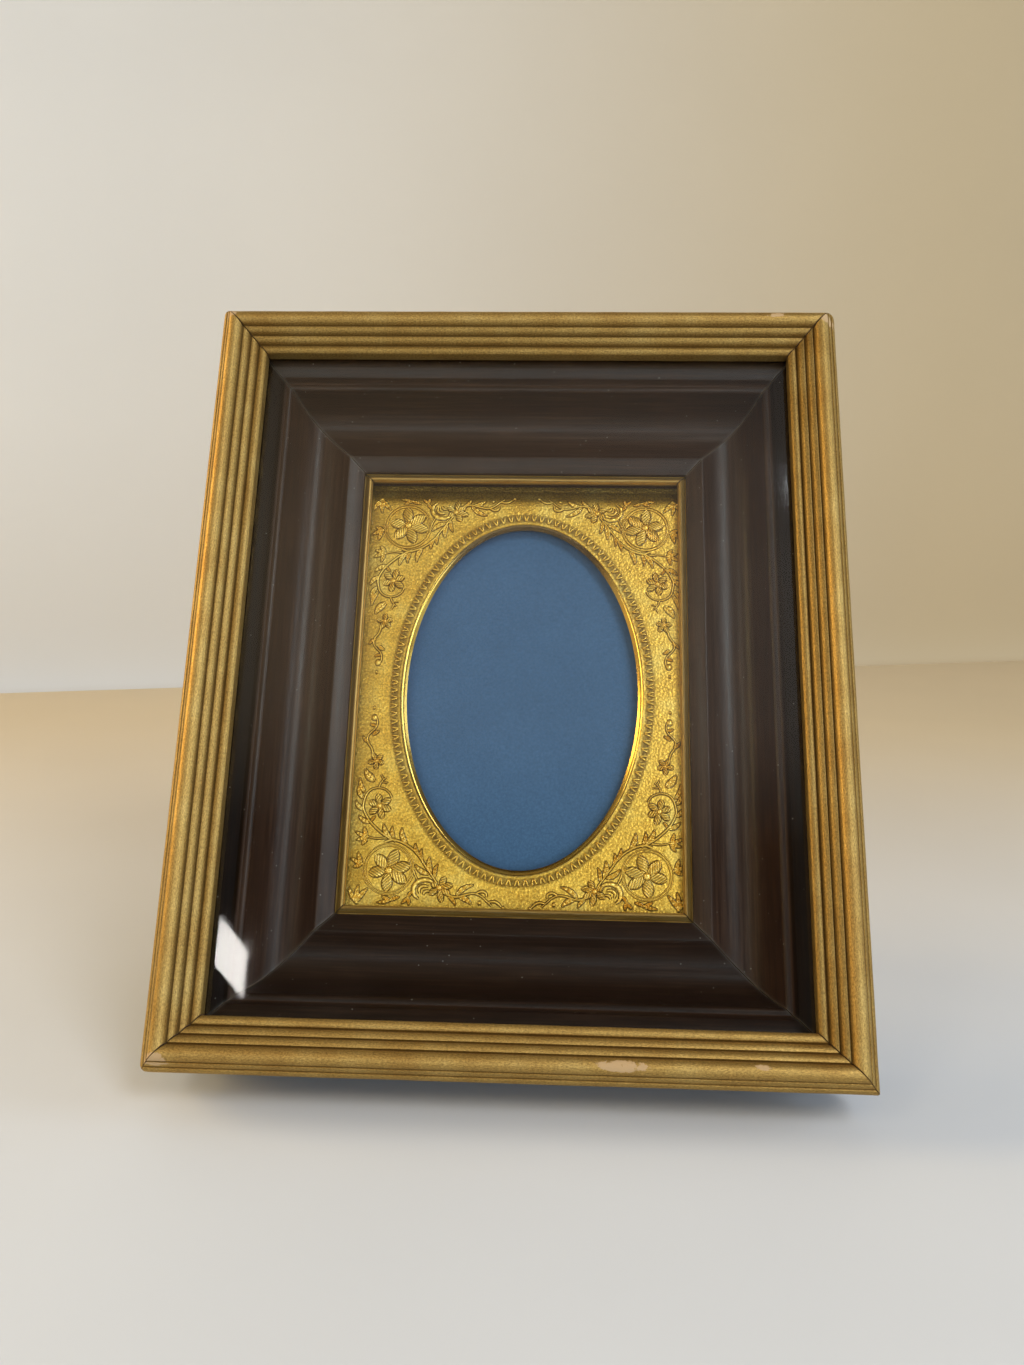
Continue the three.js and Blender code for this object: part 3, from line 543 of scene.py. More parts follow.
def painted_surface(name, tones, axis, reach, mottle, size):
    """Stage surface: one tone goes over into another along an axis as painted light, a little unevenly."""
    material, tree = new_material(name)
    spot = add(tree, "ShaderNodeTexCoord").outputs["Object"]
    cloud = add(tree, "ShaderNodeTexNoise", {"Vector": spot, "Scale": 1 / size, "Detail": 3})
    shade = add(tree, "ShaderNodeMapRange", {0: cloud, 1: 0.3, 2: 0.7, 3: 1 - mottle, 4: 1 + mottle})
    along = add(tree, "ShaderNodeSeparateXYZ", {"Vector": spot}).outputs[axis]
    along = {0: along, 1: reach[0], 2: reach[1]}
    along = add(tree, "ShaderNodeMapRange", along, interpolation_type="SMOOTHSTEP")
    blend = {"Factor": along, "A": tones[0][:], "B": tones[1][:]}
    tone = add(tree, "ShaderNodeMix", blend, data_type="RGBA")
    tone = add(tree, "ShaderNodeVectorMath", {0: tone, "Scale": shade}, operation="SCALE")
    surface(tree, {"Base Color": tone, "Roughness": 0.6, "IOR": 1.45})
    return material


def crowned(start, end, rise, steps=8):
    """Points after start along a strip that stands out by rise over the middle of its chord."""
    start, end = np.array(start, float), np.array(end, float)
    chord = end - start
    outward = np.array((-chord[1], chord[0])) / np.hypot(*chord)
    peak = (start + end) / 2 + 2 * rise * outward
    t = np.linspace(0, 1, steps + 1)[1:, None]
    return [tuple(p) for p in (1 - t) ** 2 * start + 2 * t * (1 - t) * peak + t**2 * end]


def swept_curve(start, first, second, end, steps):
    """Points after start along a cubic curve."""
    t = np.linspace(0, 1, steps + 1)[1:, None]
    ends = [np.array(p, float) for p in (start, first, second, end)]
    weights = ((1 - t) ** 3, 3 * t * (1 - t) ** 2, 3 * t**2 * (1 - t), t**3)
    return [tuple(p) for p in sum(w * p for w, p in zip(weights, ends))]


def softened(points, radius):
    """The closed outline with each sharp corner cut to a small round of three points."""
    made = []
    count = len(points)
    for i in range(count):
        before, here, after = (np.array(points[(i + k) % count], float) for k in (-1, 0, 1))
        back, on = before - here, after - here
        reach = min(radius, ROUND_SHARE * np.hypot(*back), ROUND_SHARE * np.hypot(*on))
        back, on = back / np.hypot(*back), on / np.hypot(*on)
        if np.dot(back, on) < NEARLY_STRAIGHT:
            made.append(tuple(here))
            continue
        first, last = here + back * reach, here + on * reach
        made += [tuple(first), tuple((first + 2 * here + last) / 4), tuple(last)]
    return made


def gold_section():
    """Closed outline of the gold rail: back step, side, two fillets, the bead and three reeds."""
    points = [(GOLD_RABBET, 0.0), (GOLD_RABBET, GOLD_BACK), (0.0, GOLD_BACK), (0.0, GOLD_SIDE)]
    inset, height = 0.0, GOLD_SIDE
    for _ in range(FILLET_COUNT):
        inset += FILLET_INSET
        height += FILLET_RISE
        points += crowned(points[-1], (inset - GROOVE, height), GROOVE / 2)
        points.append((inset, height - GROOVE / 2))
    points.append((inset, height))
    turns = np.linspace(math.pi, 0, BEAD_POINTS)
    points += [
        (inset + BEAD_RADIUS * (1 + math.cos(a)), height + BEAD_RADIUS * math.sin(a)) for a in turns[1:]
    ]
    inset += 2 * BEAD_RADIUS + GROOVE
    for number, drop in enumerate(REED_DROPS):
        points += [(inset - GROOVE / 2, height - GROOVE), (inset, height)]
        inset += REED_WIDTH
        height -= drop
        last = number == len(REED_DROPS) - 1
        points += crowned(points[-1], (inset if last else inset - GROOVE, height), REED_CROWN)
    points.append((inset, 0.0))
    return softened(points, GOLD_ROUND)


def liner_section():
    """Closed outline of the dark liner."""
    points = [*LINER_START, *swept_curve(*COVE, COVE_STEPS)]
    points += crowned(points[-1], QUIRK, QUIRK_HOLLOW)
    return softened([*points, *LINER_END], LINER_ROUND)


def slip_section():
    """Closed outline of the gilt slip."""
    start, bend, end = SLIP_NOSE
    lead, trail = (np.array(point) + (np.array(bend) - np.array(point)) * 2 / 3 for point in (start, end))
    nose = swept_curve(start, lead, trail, end, NOSE_STEPS)
    return softened([*SLIP_START, *nose, *SLIP_END], SLIP_ROUND)


def hollowness(section, reach=0.4):
    """How far each point of a closed outline lies in a hollow (above 0) or on an edge (below 0)."""
    steps = np.hypot(*(np.roll(section, -1, axis=0) - section).T)
    marks = np.concatenate(([0], np.cumsum(steps)))
    loop = np.vstack((section, section[:1]))
    ahead, behind = (
        np.stack([np.interp((marks[:-1] + shift) % marks[-1], marks, loop[:, k]) for k in (0, 1)], axis=1)
        for shift in (reach, -reach)
    )
    outward = np.stack((behind[:, 1] - ahead[:, 1], ahead[:, 0] - behind[:, 0]), axis=1)
    outward /= np.maximum(np.hypot(*outward.T), 1e-6)[:, None]
    rise = np.sum(((ahead + behind) / 2 - section) * outward, axis=1) / reach
    return np.clip(2 * rise, -1, 1), marks


def rail_stations(reach):
    """Places along a rail, from -1 to 1, closer together near its mitres."""
    near = np.array(STATIONS_NEAR)
    middle = np.linspace(-1, 1, int(reach / STATION_SHARE)) * (1 - STATIONS_START / reach)
    return np.concatenate((near / reach - 1, middle, 1 - near[::-1] / reach))


def worn_corners(points, half_width, half_height):
    """Rounds the frame's four outer corners, each by its own wear."""
    for corner, (side, end) in CORNERS.items():
        radius = CORNER_WEAR[corner]
        a = radius - (half_width - points[:, 0] * side)
        b = radius - (half_height - points[:, 1] * end)
        inside = (a > 0) & (b > 0)
        scale = np.maximum(a, b)[inside] / np.maximum(np.hypot(a, b)[inside], 1e-9)
        points[inside, 0] = side * (half_width - radius + a[inside] * scale)
        points[inside, 1] = end * (half_height - radius + b[inside] * scale)


def wear_at(points):
    """How worn the paint is at each point of the face, from 0 to the most that a patch comes to."""
    worn = np.zeros(len(points))
    for right, up, half_length, half_width in WORN_PATCHES:
        far = np.hypot((points[:, 0] - right) / half_length, (points[:, 1] - up) / half_width)
        worn = np.maximum(worn, np.clip(WEAR_START - far, 0, WEAR_MOST))
    return worn


def shape_object(name, vertices, faces, materials, indices=None, uv=None, marks=None, sharp=30):
    """A closed mesh piece with its faces outwards, from places in metres."""
    mesh = bpy.data.meshes.new(name)
    mesh.from_pydata(np.asarray(vertices).tolist(), [], faces)
    for material in materials:
        mesh.materials.append(material)
    if indices is not None:
        mesh.polygons.foreach_set("material_index", np.asarray(indices, np.int32))
    if uv is not None:
        layer = mesh.uv_layers.new(name="rail")
        layer.data.foreach_set("uv", np.asarray(uv, np.float32).ravel())
    for mark, values in (marks or {}).items():
        mesh.attributes.new(mark, "FLOAT", "POINT").data.foreach_set("value", np.asarray(values, np.float32))
    shell = bmesh.new()
    shell.from_mesh(mesh)
    bmesh.ops.recalc_face_normals(shell, faces=shell.faces[:])
    shell.to_mesh(mesh)
    shell.free()
    mesh.polygons.foreach_set("use_smooth", np.ones(len(mesh.polygons), bool))
    mesh.set_sharp_from_angle(angle=math.radians(sharp))
    piece = bpy.data.objects.new(name, mesh)
    bpy.context.scene.collection.objects.link(piece)
    return piece


def moulding(
    name, section, turn, sizes, materials, raw_height,
    strength=(1.0, 1.0), inset=0.0, dents=0.0, corners=False,
):
    """Sweeps a closed section along one side of the frame, mitred at both ends.

    Faces behind the raw height have the second material, and so have the ends. The strengths of its colour,
    painted light and shade, hold outside the inset and from there inwards.
    """
    section = np.array(section)
    hollow, marks = hollowness(section)
    width, height = sizes.width / MM, sizes.height / MM
    along, across = (width, height) if turn % 2 == 0 else (height, width)
    reach = along / 2 - section[:, 0] - sizes.mitre_gap / MM / math.sqrt(2)
    stations = rail_stations(along / 2)
    right = stations[:, None] * reach
    up = np.broadcast_to(across / 2 - section[:, 0], right.shape)
    out = np.broadcast_to(section[:, 1], right.shape)
    points = np.stack((right, up, out), axis=2)
    if dents:
        tangent = np.roll(section, -1, axis=0) - np.roll(section, 1, axis=0)
        tangent /= np.hypot(*tangent.T)[:, None]
        for k, j in np.ndindex(*right.shape):
            spot = Vector((right[k, j] / DENT_LENGTH + DENT_SHIFT * turn, marks[j] / DENT_WIDTH, 0.0))
            fine = DENT_FINE_SHARE * dents * abs(noise.noise(spot * DENT_FINE))
            depth = dents * (0.5 + 0.5 * noise.noise(spot)) + fine
            points[k, j, 1] -= tangent[j, 1] * depth
            points[k, j, 2] -= tangent[j, 0] * depth
    points = points.reshape(-1, 3)
    cos, sin = ((1, 0), (0, 1), (-1, 0), (0, -1))[turn]
    points[:, :2] = points[:, :2] @ np.array(((cos, sin), (-sin, cos)))
    if corners:
        worn_corners(points, width / 2, height / 2)
    count = len(section)
    faces, uv, indices = [], [], []
    for k in range(len(stations) - 1):
        here, then = k * count, (k + 1) * count
        for j in range(count):
            following = (j + 1) % count
            faces.append((here + j, here + following, then + following, then + j))
            uv += [
                (right[k, j], marks[j]), (right[k, following], marks[j + 1]),
                (right[k + 1, following], marks[j + 1]), (right[k + 1, j], marks[j]),
            ]
            flat_back = max(section[j, 1], section[following, 1]) < raw_height
            indices.append(1 if flat_back else 0)
    for k in (0, len(stations) - 1):
        faces.append(tuple(range(k * count, (k + 1) * count)))
        uv += [(right[k, j], marks[j]) for j in range(count)]
        indices.append(1)
    to_end = (1 - np.abs(stations))[:, None] * reach
    return shape_object(name, place(points), faces, materials, indices, uv, {
        "hollow": np.tile(hollow, len(stations)),
        "mitre": np.exp(-to_end / MITRE_FADE).ravel(),
        "worn": wear_at(points),
        # The strength mark is painted light and shade, by side and by inset.
        "strength": np.tile(np.where(section[:, 0] < inset, *strength), len(stations)),
    })


def dress(piece, slot, *nodes):
    """The piece stands for these nodes on the frame body; its slot is not used."""
    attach(piece, "frame")
    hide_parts(*nodes)


def refinish(material, *names):
    """Gives carried-over nodes a finish."""
    for name in names:
        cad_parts[name].data.materials.clear()
        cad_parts[name].data.materials.append(material)


def mat_ground(y, half_height):
    """Height of the mat's ground over its flat middle: the sheet bends back along its top edge."""
    bend = FLANGE_BEND * math.sin(FLANGE_SLOPE)
    into = np.maximum(FLANGE_WIDTH - (half_height - y), 0)
    curved = np.minimum(into, bend)
    fall = FLANGE_BEND - np.sqrt(FLANGE_BEND**2 - curved**2) + (into - curved) * math.tan(FLANGE_SLOPE)
    return -np.minimum(fall, MAT_DEPTH - 2 * MAT_SHEET)


def on_mat(x, y, height):
    """Places on the mat in millimetres, from its middle and its flat ground, as places in metres."""
    x, y, height = np.broadcast_arrays(x, y, height)
    return place(np.stack((x + MAT_MIDDLE[0], y + MAT_MIDDLE[1], height + MAT_FRONT), axis=-1))


def mat_sheet(sizes, materials):
    """The brass sheet: polished rim, stippled ground, edges turned back, and its own thickness.

    Its rows of points run round the oval: up the rim, out over the ground, and back again behind it.
    """
    half_width, half_height = sizes.width / MM / 2, sizes.height / MM / 2
    a, b = sizes.oval_width / MM / 2, sizes.oval_height / MM / 2
    turn = np.linspace(0, 2 * math.pi, OVAL_STEPS, endpoint=False)
    corner = math.atan2(half_height, half_width)
    corners = [corner, math.pi - corner, math.pi + corner, 2 * math.pi - corner]
    angles = np.mod(np.arctan2(b * np.sin(turn), a * np.cos(turn)), 2 * math.pi)
    angles = np.unique(np.concatenate((angles, corners)))
    cos, sin = np.cos(angles), np.sin(angles)
    edge = np.minimum(half_width / np.maximum(np.abs(cos), 1e-9), half_height / np.maximum(np.abs(sin), 1e-9))
    inner_edge = edge * (1 - MAT_SHEET / np.abs(edge))
    every = np.ones(len(angles))
    rows = []

    def oval(offset):
        """Distance from the middle, at each angle, to an oval this far outside the opening's edge."""
        return (a + offset) * (b + offset) / np.sqrt(((b + offset) * cos) ** 2 + ((a + offset) * sin) ** 2)

    def row(radius, height, tarnish_and_shade, polished=False):
        """Adds one row of points round the oval."""
        rows.append((radius, height * every, tarnish_and_shade * every, polished))

    # Painted shade on the rim: duller on its lower left and dark at the top of the oval.
    dull = RIM_LOW_PAINTED_SHADE * np.clip(-cos - 0.8 * sin, 0, 1)
    dark_top = np.maximum(RIM_TOP_PAINTED_SHADE * np.clip(3.5 * sin - 2.2, 0, 1), dull)
    for offset, height in RIM_PROFILE:
        crease = RIM_CREASE_TARNISH * (RIM_CREASE[0] < offset < RIM_CREASE[1])
        tarnish_and_shade = np.maximum(crease, dark_top if offset < RIM_TOP_REACH else dull)
        row(oval(offset), height, tarnish_and_shade, offset < RIM_POLISHED)
    for offset, tarnish_and_shade in TOOTH_TARNISH_AND_SHADE:
        row(oval(offset), 0.0, tarnish_and_shade)
    ground_start = oval(TOOTH_TARNISH_AND_SHADE[-1][0])
    for share in 1 - (1 - np.linspace(0, 1, GROUND_ROWS)[1:]) ** GROUND_CROWDING:
        radius = ground_start + (edge - ground_start) * share
        ground = mat_ground(radius * sin, half_height)
        # Painted shade: darker where the flange bends back and along the left and bottom edges.
        left = LEFT_PAINTED_SHADE * np.clip(1 - (half_width + radius * cos) / PAINTED_SHADE_REACH, 0, 1)
        low = LOW_PAINTED_SHADE * np.clip(1 - (half_height + radius * sin) / PAINTED_SHADE_REACH, 0, 1)
        row(radius, ground, np.maximum(FLANGE_PAINTED_SHADE * np.minimum(-ground, 1), np.maximum(left, low)))
    for radius in (edge, inner_edge):
        row(radius, -MAT_DEPTH, BACK_TARNISH)
    rim_out = oval(RIM_PROFILE[-1][0])
    for share in np.linspace(1, 0, BACK_ROWS):
        radius = rim_out + (inner_edge - rim_out) * share
        row(radius, mat_ground(radius * sin, half_height) - MAT_SHEET, BACK_TARNISH)
    for offset, height in RIM_BACK:
        row(oval(offset), height, BACK_TARNISH)
    radius, height, patina_and_shade = (np.stack([made[k] for made in rows]) for k in range(3))
    around, down = len(angles), len(rows)
    faces, indices = [], []
    for k in range(down):
        below = (k + 1) % down
        for j in range(around):
            after = (j + 1) % around
            faces.append((k * around + j, k * around + after, below * around + after, below * around + j))
            indices.append(1 if rows[k][3] and rows[below][3] else 0)
    points = on_mat(radius * cos, radius * sin, height).reshape(-1, 3)
    return shape_object("stamped_mat_sheet", points, faces, materials, indices, None,
                        {"patina_and_shade": patina_and_shade.ravel()}, sharp=50)


def spline(points, spacing):
    """Points at even distances along a smooth curve through the given points."""
    points = np.array(points, float)
    ends = np.vstack((2 * points[0] - points[1], points, 2 * points[-1] - points[-2]))
    t = np.linspace(0, 1, SPLINE_STEPS, endpoint=False)[:, None]
    fine = [
        0.5 * (2 * b + (c - a) * t + (2 * a - 5 * b + 4 * c - d) * t**2 + (3 * b - a - 3 * c + d) * t**3)
        for a, b, c, d in zip(ends, ends[1:], ends[2:], ends[3:])
    ]
    fine = np.vstack((*fine, points[-1:]))
    marks = np.concatenate(([0], np.cumsum(np.hypot(*np.diff(fine, axis=0).T))))
    places = np.linspace(0, marks[-1], max(4, int(marks[-1] / spacing)))
    return np.stack([np.interp(places, marks, fine[:, k]) for k in (0, 1)], axis=1)


class Spray:
    """One corner's stamped flowers, gathered as closed raised shapes on the mat's ground.

    Places are in millimetres in from the mat's side edge and in from its end edge.
    """

    def __init__(self, relief):
        self.relief = relief
        self.places = []
        self.heights = []
        self.patina_and_shade = []
        self.faces = []
        self.count = 0

    def ribbon(self, path, half_widths, heights, closed=False, lines=0.0, crease=CREASE_WIDTH):
        """A raised strip along a path: half widths by place, heights and dark lines by place and across."""
        path = np.asarray(path, float)
        if closed:
            tangent = np.roll(path, -1, axis=0) - np.roll(path, 1, axis=0)
        else:
            tangent = np.gradient(path, axis=0)
        tangent /= np.maximum(np.hypot(*tangent.T), 1e-9)[:, None]
        normal = np.stack((-tangent[:, 1], tangent[:, 0]), axis=1)
        stations, across = heights.shape
        reach = np.asarray(half_widths)[:, None] * np.linspace(-1, 1, across)
        heights = np.maximum(heights, CREASE_HEIGHT)
        lines = np.broadcast_to(lines, heights.shape)
        for beyond, height in ((crease, CREASE_HEIGHT), (RELIEF_WALL, RELIEF_SINK)):
            reach = np.hstack((reach[:, :1] - beyond, reach, reach[:, -1:] + beyond))
            rim = np.full((stations, 1), height)
            heights = np.hstack((rim, heights, rim))
            lines = np.hstack((0 * rim, lines, 0 * rim))
        across = heights.shape[1]
        spots = path[:, None] + normal[:, None] * reach[..., None]
        start = self.count
        for k in range(stations if closed else stations - 1):
            here, then = start + k * across, start + (k + 1) % stations * across
            for j in range(across):
                beside = (j + 1) % across
                self.faces.append((here + j, here + beside, then + beside, then + j))
        if not closed:
            last = start + (stations - 1) * across
            self.faces.append(tuple(range(start, start + across)))
            self.faces.append(tuple(range(last, last + across)))
        self.places.append(spots.reshape(-1, 2))
        self.heights.append(heights.ravel())
        # Tarnish and painted shade: the lower a place of the raised work, the darker, so its foot and the line
        # round it are dark.
        edges = np.clip(0.95 - heights / (0.3 * self.relief), 0, 0.9)
        self.patina_and_shade.append(np.maximum(edges, lines).ravel())
        self.count += stations * across

    def stem(self, points, width, rise=0.6, taper=0.6):
        """A rounded stalk through the points, thinner at its end."""
        path = spline(points, 0.45)
        t = np.linspace(0, 1, len(path))
        s = np.linspace(-1, 1, 6)
        half = width / 2 * (1 - (1 - taper) * t)
        heights = np.outer(0.6 + 0.4 * half / half.max(), np.sqrt(1 - s**2)) * rise * self.relief
        self.ribbon(path, half, heights)

    def ring(self, centre, radius, width, rise=0.5):
        """A fine raised circle."""
        turn = np.linspace(0, 2 * math.pi, RING_POINTS, endpoint=False)
        path = np.array(centre) + radius * np.stack((np.cos(turn), np.sin(turn)), axis=1)
        s = np.linspace(-1, 1, 6)
        heights = np.tile(np.sqrt(1 - s**2), (RING_POINTS, 1)) * rise * self.relief
        half = np.full(RING_POINTS, width / 2)
        self.ribbon(path, half, heights, closed=True, crease=CREASE_WIDTH / 3)

    def leaf(self, base, tip, width, bend=0.12, rise=0.9):
        """A pointed leaf with a vein pressed into it."""
        base, tip = np.array(base, float), np.array(tip, float)
        side = np.array((-(tip - base)[1], (tip - base)[0]))
        t = np.linspace(0, 1, 25)
        path = base + np.outer(t, tip - base) + np.outer(4 * bend * t * (1 - t), side)
        s = np.linspace(-1, 1, 11)
        half = width / 2 * np.maximum(np.sin(math.pi * t**0.8) ** 0.8, 0.06)
        crest = np.maximum(1 - s**2, 0) ** 0.4 - 0.6 * np.exp(-((s / 0.2) ** 2))
        notch = 0.68 + 0.32 * np.cos(8 * math.pi * t[:, None] - 4 * np.abs(s)[None])
        heights = np.maximum(np.outer(0.3 + 0.7 * np.sin(math.pi * t), crest) * notch, -0.1)
        self.ribbon(path, half, heights * rise * self.relief)

    def petal(self, centre, angle, start, end, width, pitch, rise=1.0):
        """A petal cut across by deep slanting ribs, broad towards its tip."""
        heading = np.array((math.cos(math.radians(angle)), math.sin(math.radians(angle))))
        reach = end - start
        t = np.linspace(0, 1, int(8 * reach / pitch))
        path = np.array(centre) + np.outer(start + reach * t, heading)
        s = np.linspace(-1, 1, 15)
        half = width / 2 * np.maximum(np.sin(math.pi * np.clip(0.1 + 0.9 * t, 0, 1) ** 1.15) ** 0.6, 0.1)
        crest = np.maximum(1 - s**2, 0) ** 0.3
        slant = reach * t[:, None] + RIB_LEAN * half[:, None] * s
        groove = 0.5 + 0.5 * np.cos(2 * math.pi * slant / pitch)
        shape = np.outer(np.sin(math.pi * (0.12 + 0.8 * t)) ** 0.4, crest)
        heights = shape * (1 - RIB_DEPTH * groove) * rise * self.relief
        self.ribbon(path, half, heights, lines=RIB_LINE * groove**4)

    def dome(self, centre, radius, rise=0.8):
        """A round boss."""
        t = np.linspace(-1, 1, 9)
        s = np.linspace(-1, 1, 7)
        path = np.array(centre) + np.outer(t * radius, (1.0, 0.0))
        half = radius * np.sqrt(np.maximum(1 - t**2, 0.004))
        dome = np.sqrt(np.maximum(1 - t**2, 0))[:, None] * np.sqrt(1 - s**2)
        self.ribbon(path, half, dome * rise * self.relief)

    def flower(self, centre, petals, start, width, pitch, heart):
        """Petals by heading and length round a dotted heart."""
        for heading, reach in petals:
            self.petal(centre, heading, start, reach, width, pitch)
        self.dome(centre, heart, 0.75)
        for k in range(HEART_DOTS):
            turn = 2 * math.pi * k / HEART_DOTS
            dot = (centre[0] + 0.8 * heart * math.cos(turn), centre[1] + 0.8 * heart * math.sin(turn))
            self.dome(dot, 0.24 * heart, 0.95)

    def curl(self, points, width, rise=0.8):
        """A comma-shaped scroll leaf: thin at both ends, full in the middle."""
        path = spline(points, 0.3)
        t = np.linspace(0, 1, len(path))
        s = np.linspace(-1, 1, 7)
        half = width / 2 * np.maximum(np.sin(math.pi * (0.08 + 0.84 * t)) ** 0.8, 0.12)
        ribs = 0.8 + 0.2 * np.cos(2 * math.pi * 6 * t)
        heights = np.outer(np.sin(math.pi * (0.1 + 0.8 * t)) ** 0.5 * ribs, (1 - s**2) ** 0.5)
        self.ribbon(path, half, heights * rise * self.relief)

    def bud(self, base, tips, width):
        """A bud of several narrow leaves from one foot."""
        for tip in tips:
            self.leaf(base, tip, width, 0.05)
        self.dome(base, 0.4 * width, 0.7)


# The stamped design of one corner: a ringed flower with a spray along the end and one up the side. Each row
# names a shape of the spray above and gives what it takes, in millimetres and degrees.
CORNER_DESIGN = (
    ("ring", (11.55, 12.15), 5.8, 0.26, 0.6),
    ("ring", (11.55, 12.15), 5.2, 0.24, 0.55),
    ("flower", (11.65, 11.8), ((131, 4.7), (71, 5.1), (15, 5.2), (-32, 4.9), (265, 4.8), (188, 4.6)),
     0.9, 2.5, 0.85, 0.9),
    ("stem", ((10.4, 18.2), (12.1, 18.8), (14.5, 18.2), (16.7, 16.9), (18.4, 15.3), (19.8, 13.3),
              (21.2, 11.4), (22.8, 9.2)), 0.6),
    ("stem", ((12.9, 18.5), (10.6, 19.6), (8.7, 21.0), (6.7, 22.9), (5.5, 24.7), (4.9, 26.3), (5.1, 28.0),
              (5.6, 29.4), (6.6, 30.4), (8.1, 30.8), (9.7, 30.5), (10.8, 29.7), (11.4, 28.6)), 0.55),
    ("flower", (8.7, 26.6), ((35, 3.1), (100, 2.9), (160, 2.7), (222, 3.0), (285, 3.2), (340, 2.9)),
     0.6, 1.5, 0.8, 0.65),
    ("flower", (23.4, 8.2), ((62, 2.8), (14, 3.2), (-32, 2.9), (-80, 3.4), (214, 2.8), (150, 2.2)),
     0.6, 1.4, 0.8, 0.65),
    ("leaf", (12.0, 18.9), (9.9, 22.6), 1.2), ("leaf", (12.6, 19.0), (12.0, 22.0), 0.9),
    ("leaf", (15.5, 17.9), (14.2, 21.7), 1.2), ("leaf", (18.4, 15.3), (17.5, 18.2), 0.95),
    ("leaf", (19.3, 14.2), (19.0, 17.0), 0.8), ("leaf", (21.5, 11.4), (21.0, 15.2), 1.25),
    ("leaf", (22.3, 10.4), (22.9, 13.6), 0.95), ("leaf", (21.0, 11.2), (17.6, 13.4), 1.15),
    ("leaf", (5.2, 25.5), (3.0, 27.9), 1.1), ("leaf", (4.9, 28.2), (3.5, 31.4), 1.1),
    ("leaf", (6.8, 22.7), (3.9, 24.4), 1.1), ("leaf", (7.0, 22.9), (8.0, 24.2), 0.6),
    ("leaf", (27.2, 6.3), (31.3, 9.0), 1.1), ("leaf", (27.8, 6.2), (30.8, 4.5), 1.2),
    ("leaf", (25.4, 6.4), (27.2, 4.2), 0.9), ("leaf", (7.4, 32.4), (4.8, 35.4), 1.7),
    ("leaf", (5.2, 29.6), (3.8, 33.2), 1.0), ("leaf", (5.5, 41.6), (3.7, 43.2), 0.8),
    ("leaf", (6.0, 43.2), (7.7, 44.3), 0.9), ("leaf", (6.9, 45.7), (5.2, 46.2), 0.7),
    ("curl", ((22.4, 9.0), (20.6, 9.9), (18.6, 9.5), (17.6, 8.2), (17.7, 6.6), (18.7, 5.6)), 1.1),
    ("curl", ((20.9, 8.4), (19.6, 8.5), (18.8, 7.8), (19.0, 6.8)), 0.75),
    ("curl", ((21.2, 7.4), (20.2, 7.3), (19.8, 6.5)), 0.6),
    ("stem", ((25.0, 6.7), (27.3, 6.2), (29.5, 6.8), (31.4, 7.1), (33.1, 6.4), (34.2, 5.4),
              (35.4, 4.4)), 0.5),
    ("curl", ((31.6, 7.0), (33.0, 7.6), (34.0, 7.2), (34.1, 6.3)), 0.6),
    ("curl", ((34.4, 5.2), (35.8, 5.4), (36.8, 5.0), (37.6, 4.2)), 0.6),
    ("dome", (32.6, 5.0), 0.45), ("dome", (37.9, 4.0), 0.4),
    ("bud", (4.7, 4.5), ((2.7, 8.0), (5.0, 8.6), (7.2, 7.8)), 1.1),
    ("bud", (5.4, 13.2), ((2.7, 14.6), (3.3, 12.4), (4.4, 16.0)), 1.0),
    ("bud", (6.2, 19.4), ((3.4, 20.6), (3.6, 18.6), (5.4, 21.8), (5.0, 17.4)), 0.95),
    ("stem", ((10.6, 19.2), (8.4, 19.0), (6.2, 19.4)), 0.4),
    ("bud", (12.4, 5.2), ((9.2, 4.6), (10.3, 6.2), (14.6, 5.9)), 0.9),
    ("bud", (16.3, 5.9), ((14.8, 4.4), (16.6, 4.0), (17.4, 7.4)), 0.8),
    ("stem", ((17.3, 12.0), (17.9, 10.6), (18.4, 9.6)), 0.4),
    ("stem", ((8.3, 31.0), (8.8, 32.2), (9.8, 33.3)), 0.4),
    ("stem", ((8.8, 32.2), (10.3, 32.0)), 0.35),
    ("stem", ((9.2, 32.9), (8.6, 34.0)), 0.35),
    ("flower", (7.3, 37.1), ((52, 2.1), (-15, 1.9), (-92, 2.0), (188, 2.1), (118, 2.1)),
     0.3, 1.15, 0.7, 0.45),
    ("stem", ((6.4, 38.9), (5.9, 40.3), (5.0, 41.6), (4.9, 42.9), (5.6, 44.0), (6.6, 45.0), (7.0, 46.2),
              (6.8, 47.4), (6.1, 48.2)), 0.45),
    ("dome", (6.2, 47.6), 0.75), ("dome", (6.0, 50.0), 0.35),
)


def corner_spray(relief):
    """The raised shapes of one corner's design."""
    spray = Spray(relief)
    for kind, *details in CORNER_DESIGN:
        getattr(spray, kind)(*details)
    return spray


def add_rails(context, piece, section, finish, raw_height, slot, node, shapes=None):
    """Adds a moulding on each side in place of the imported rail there, with its shape's settings by side."""
    sizes, colours = context.scene.frame_sizes, context.scene.finish_colours
    finishes = (finish(colours), raw_wood(colours))
    for turn, side in enumerate(SIDES):
        shape = shapes[side] if shapes else {}
        rail = moulding(f"{piece}_{side}", section, turn, sizes, finishes, raw_height, **shape)
        dress(rail, slot, f"{node}_{side}")


class FrameStep:
    """What the steps that build the frame share."""

    bl_options = {"REGISTER", "UNDO"}


class AddGoldRails(FrameStep, bpy.types.Operator):
    """Adds the four reeded gold rails with their worn corners."""

    bl_idname = "picture_frame.add_gold_rails"
    bl_label = "Gold rails"

    def execute(self, context):
        dents = context.scene.frame_sizes.dents / MM
        shapes = {
            side: {"strength": GOLD_PAINTED_LIGHT_SHADE[side], "inset": REED_INSET, "dents": dents, "corners": True}
            for side in SIDES
        }
        section = gold_section()
        add_rails(context, "reeded_rail", section, bronze_paint, GOLD_RAW, "gold_paint", "gold_rail", shapes)
        return {"FINISHED"}


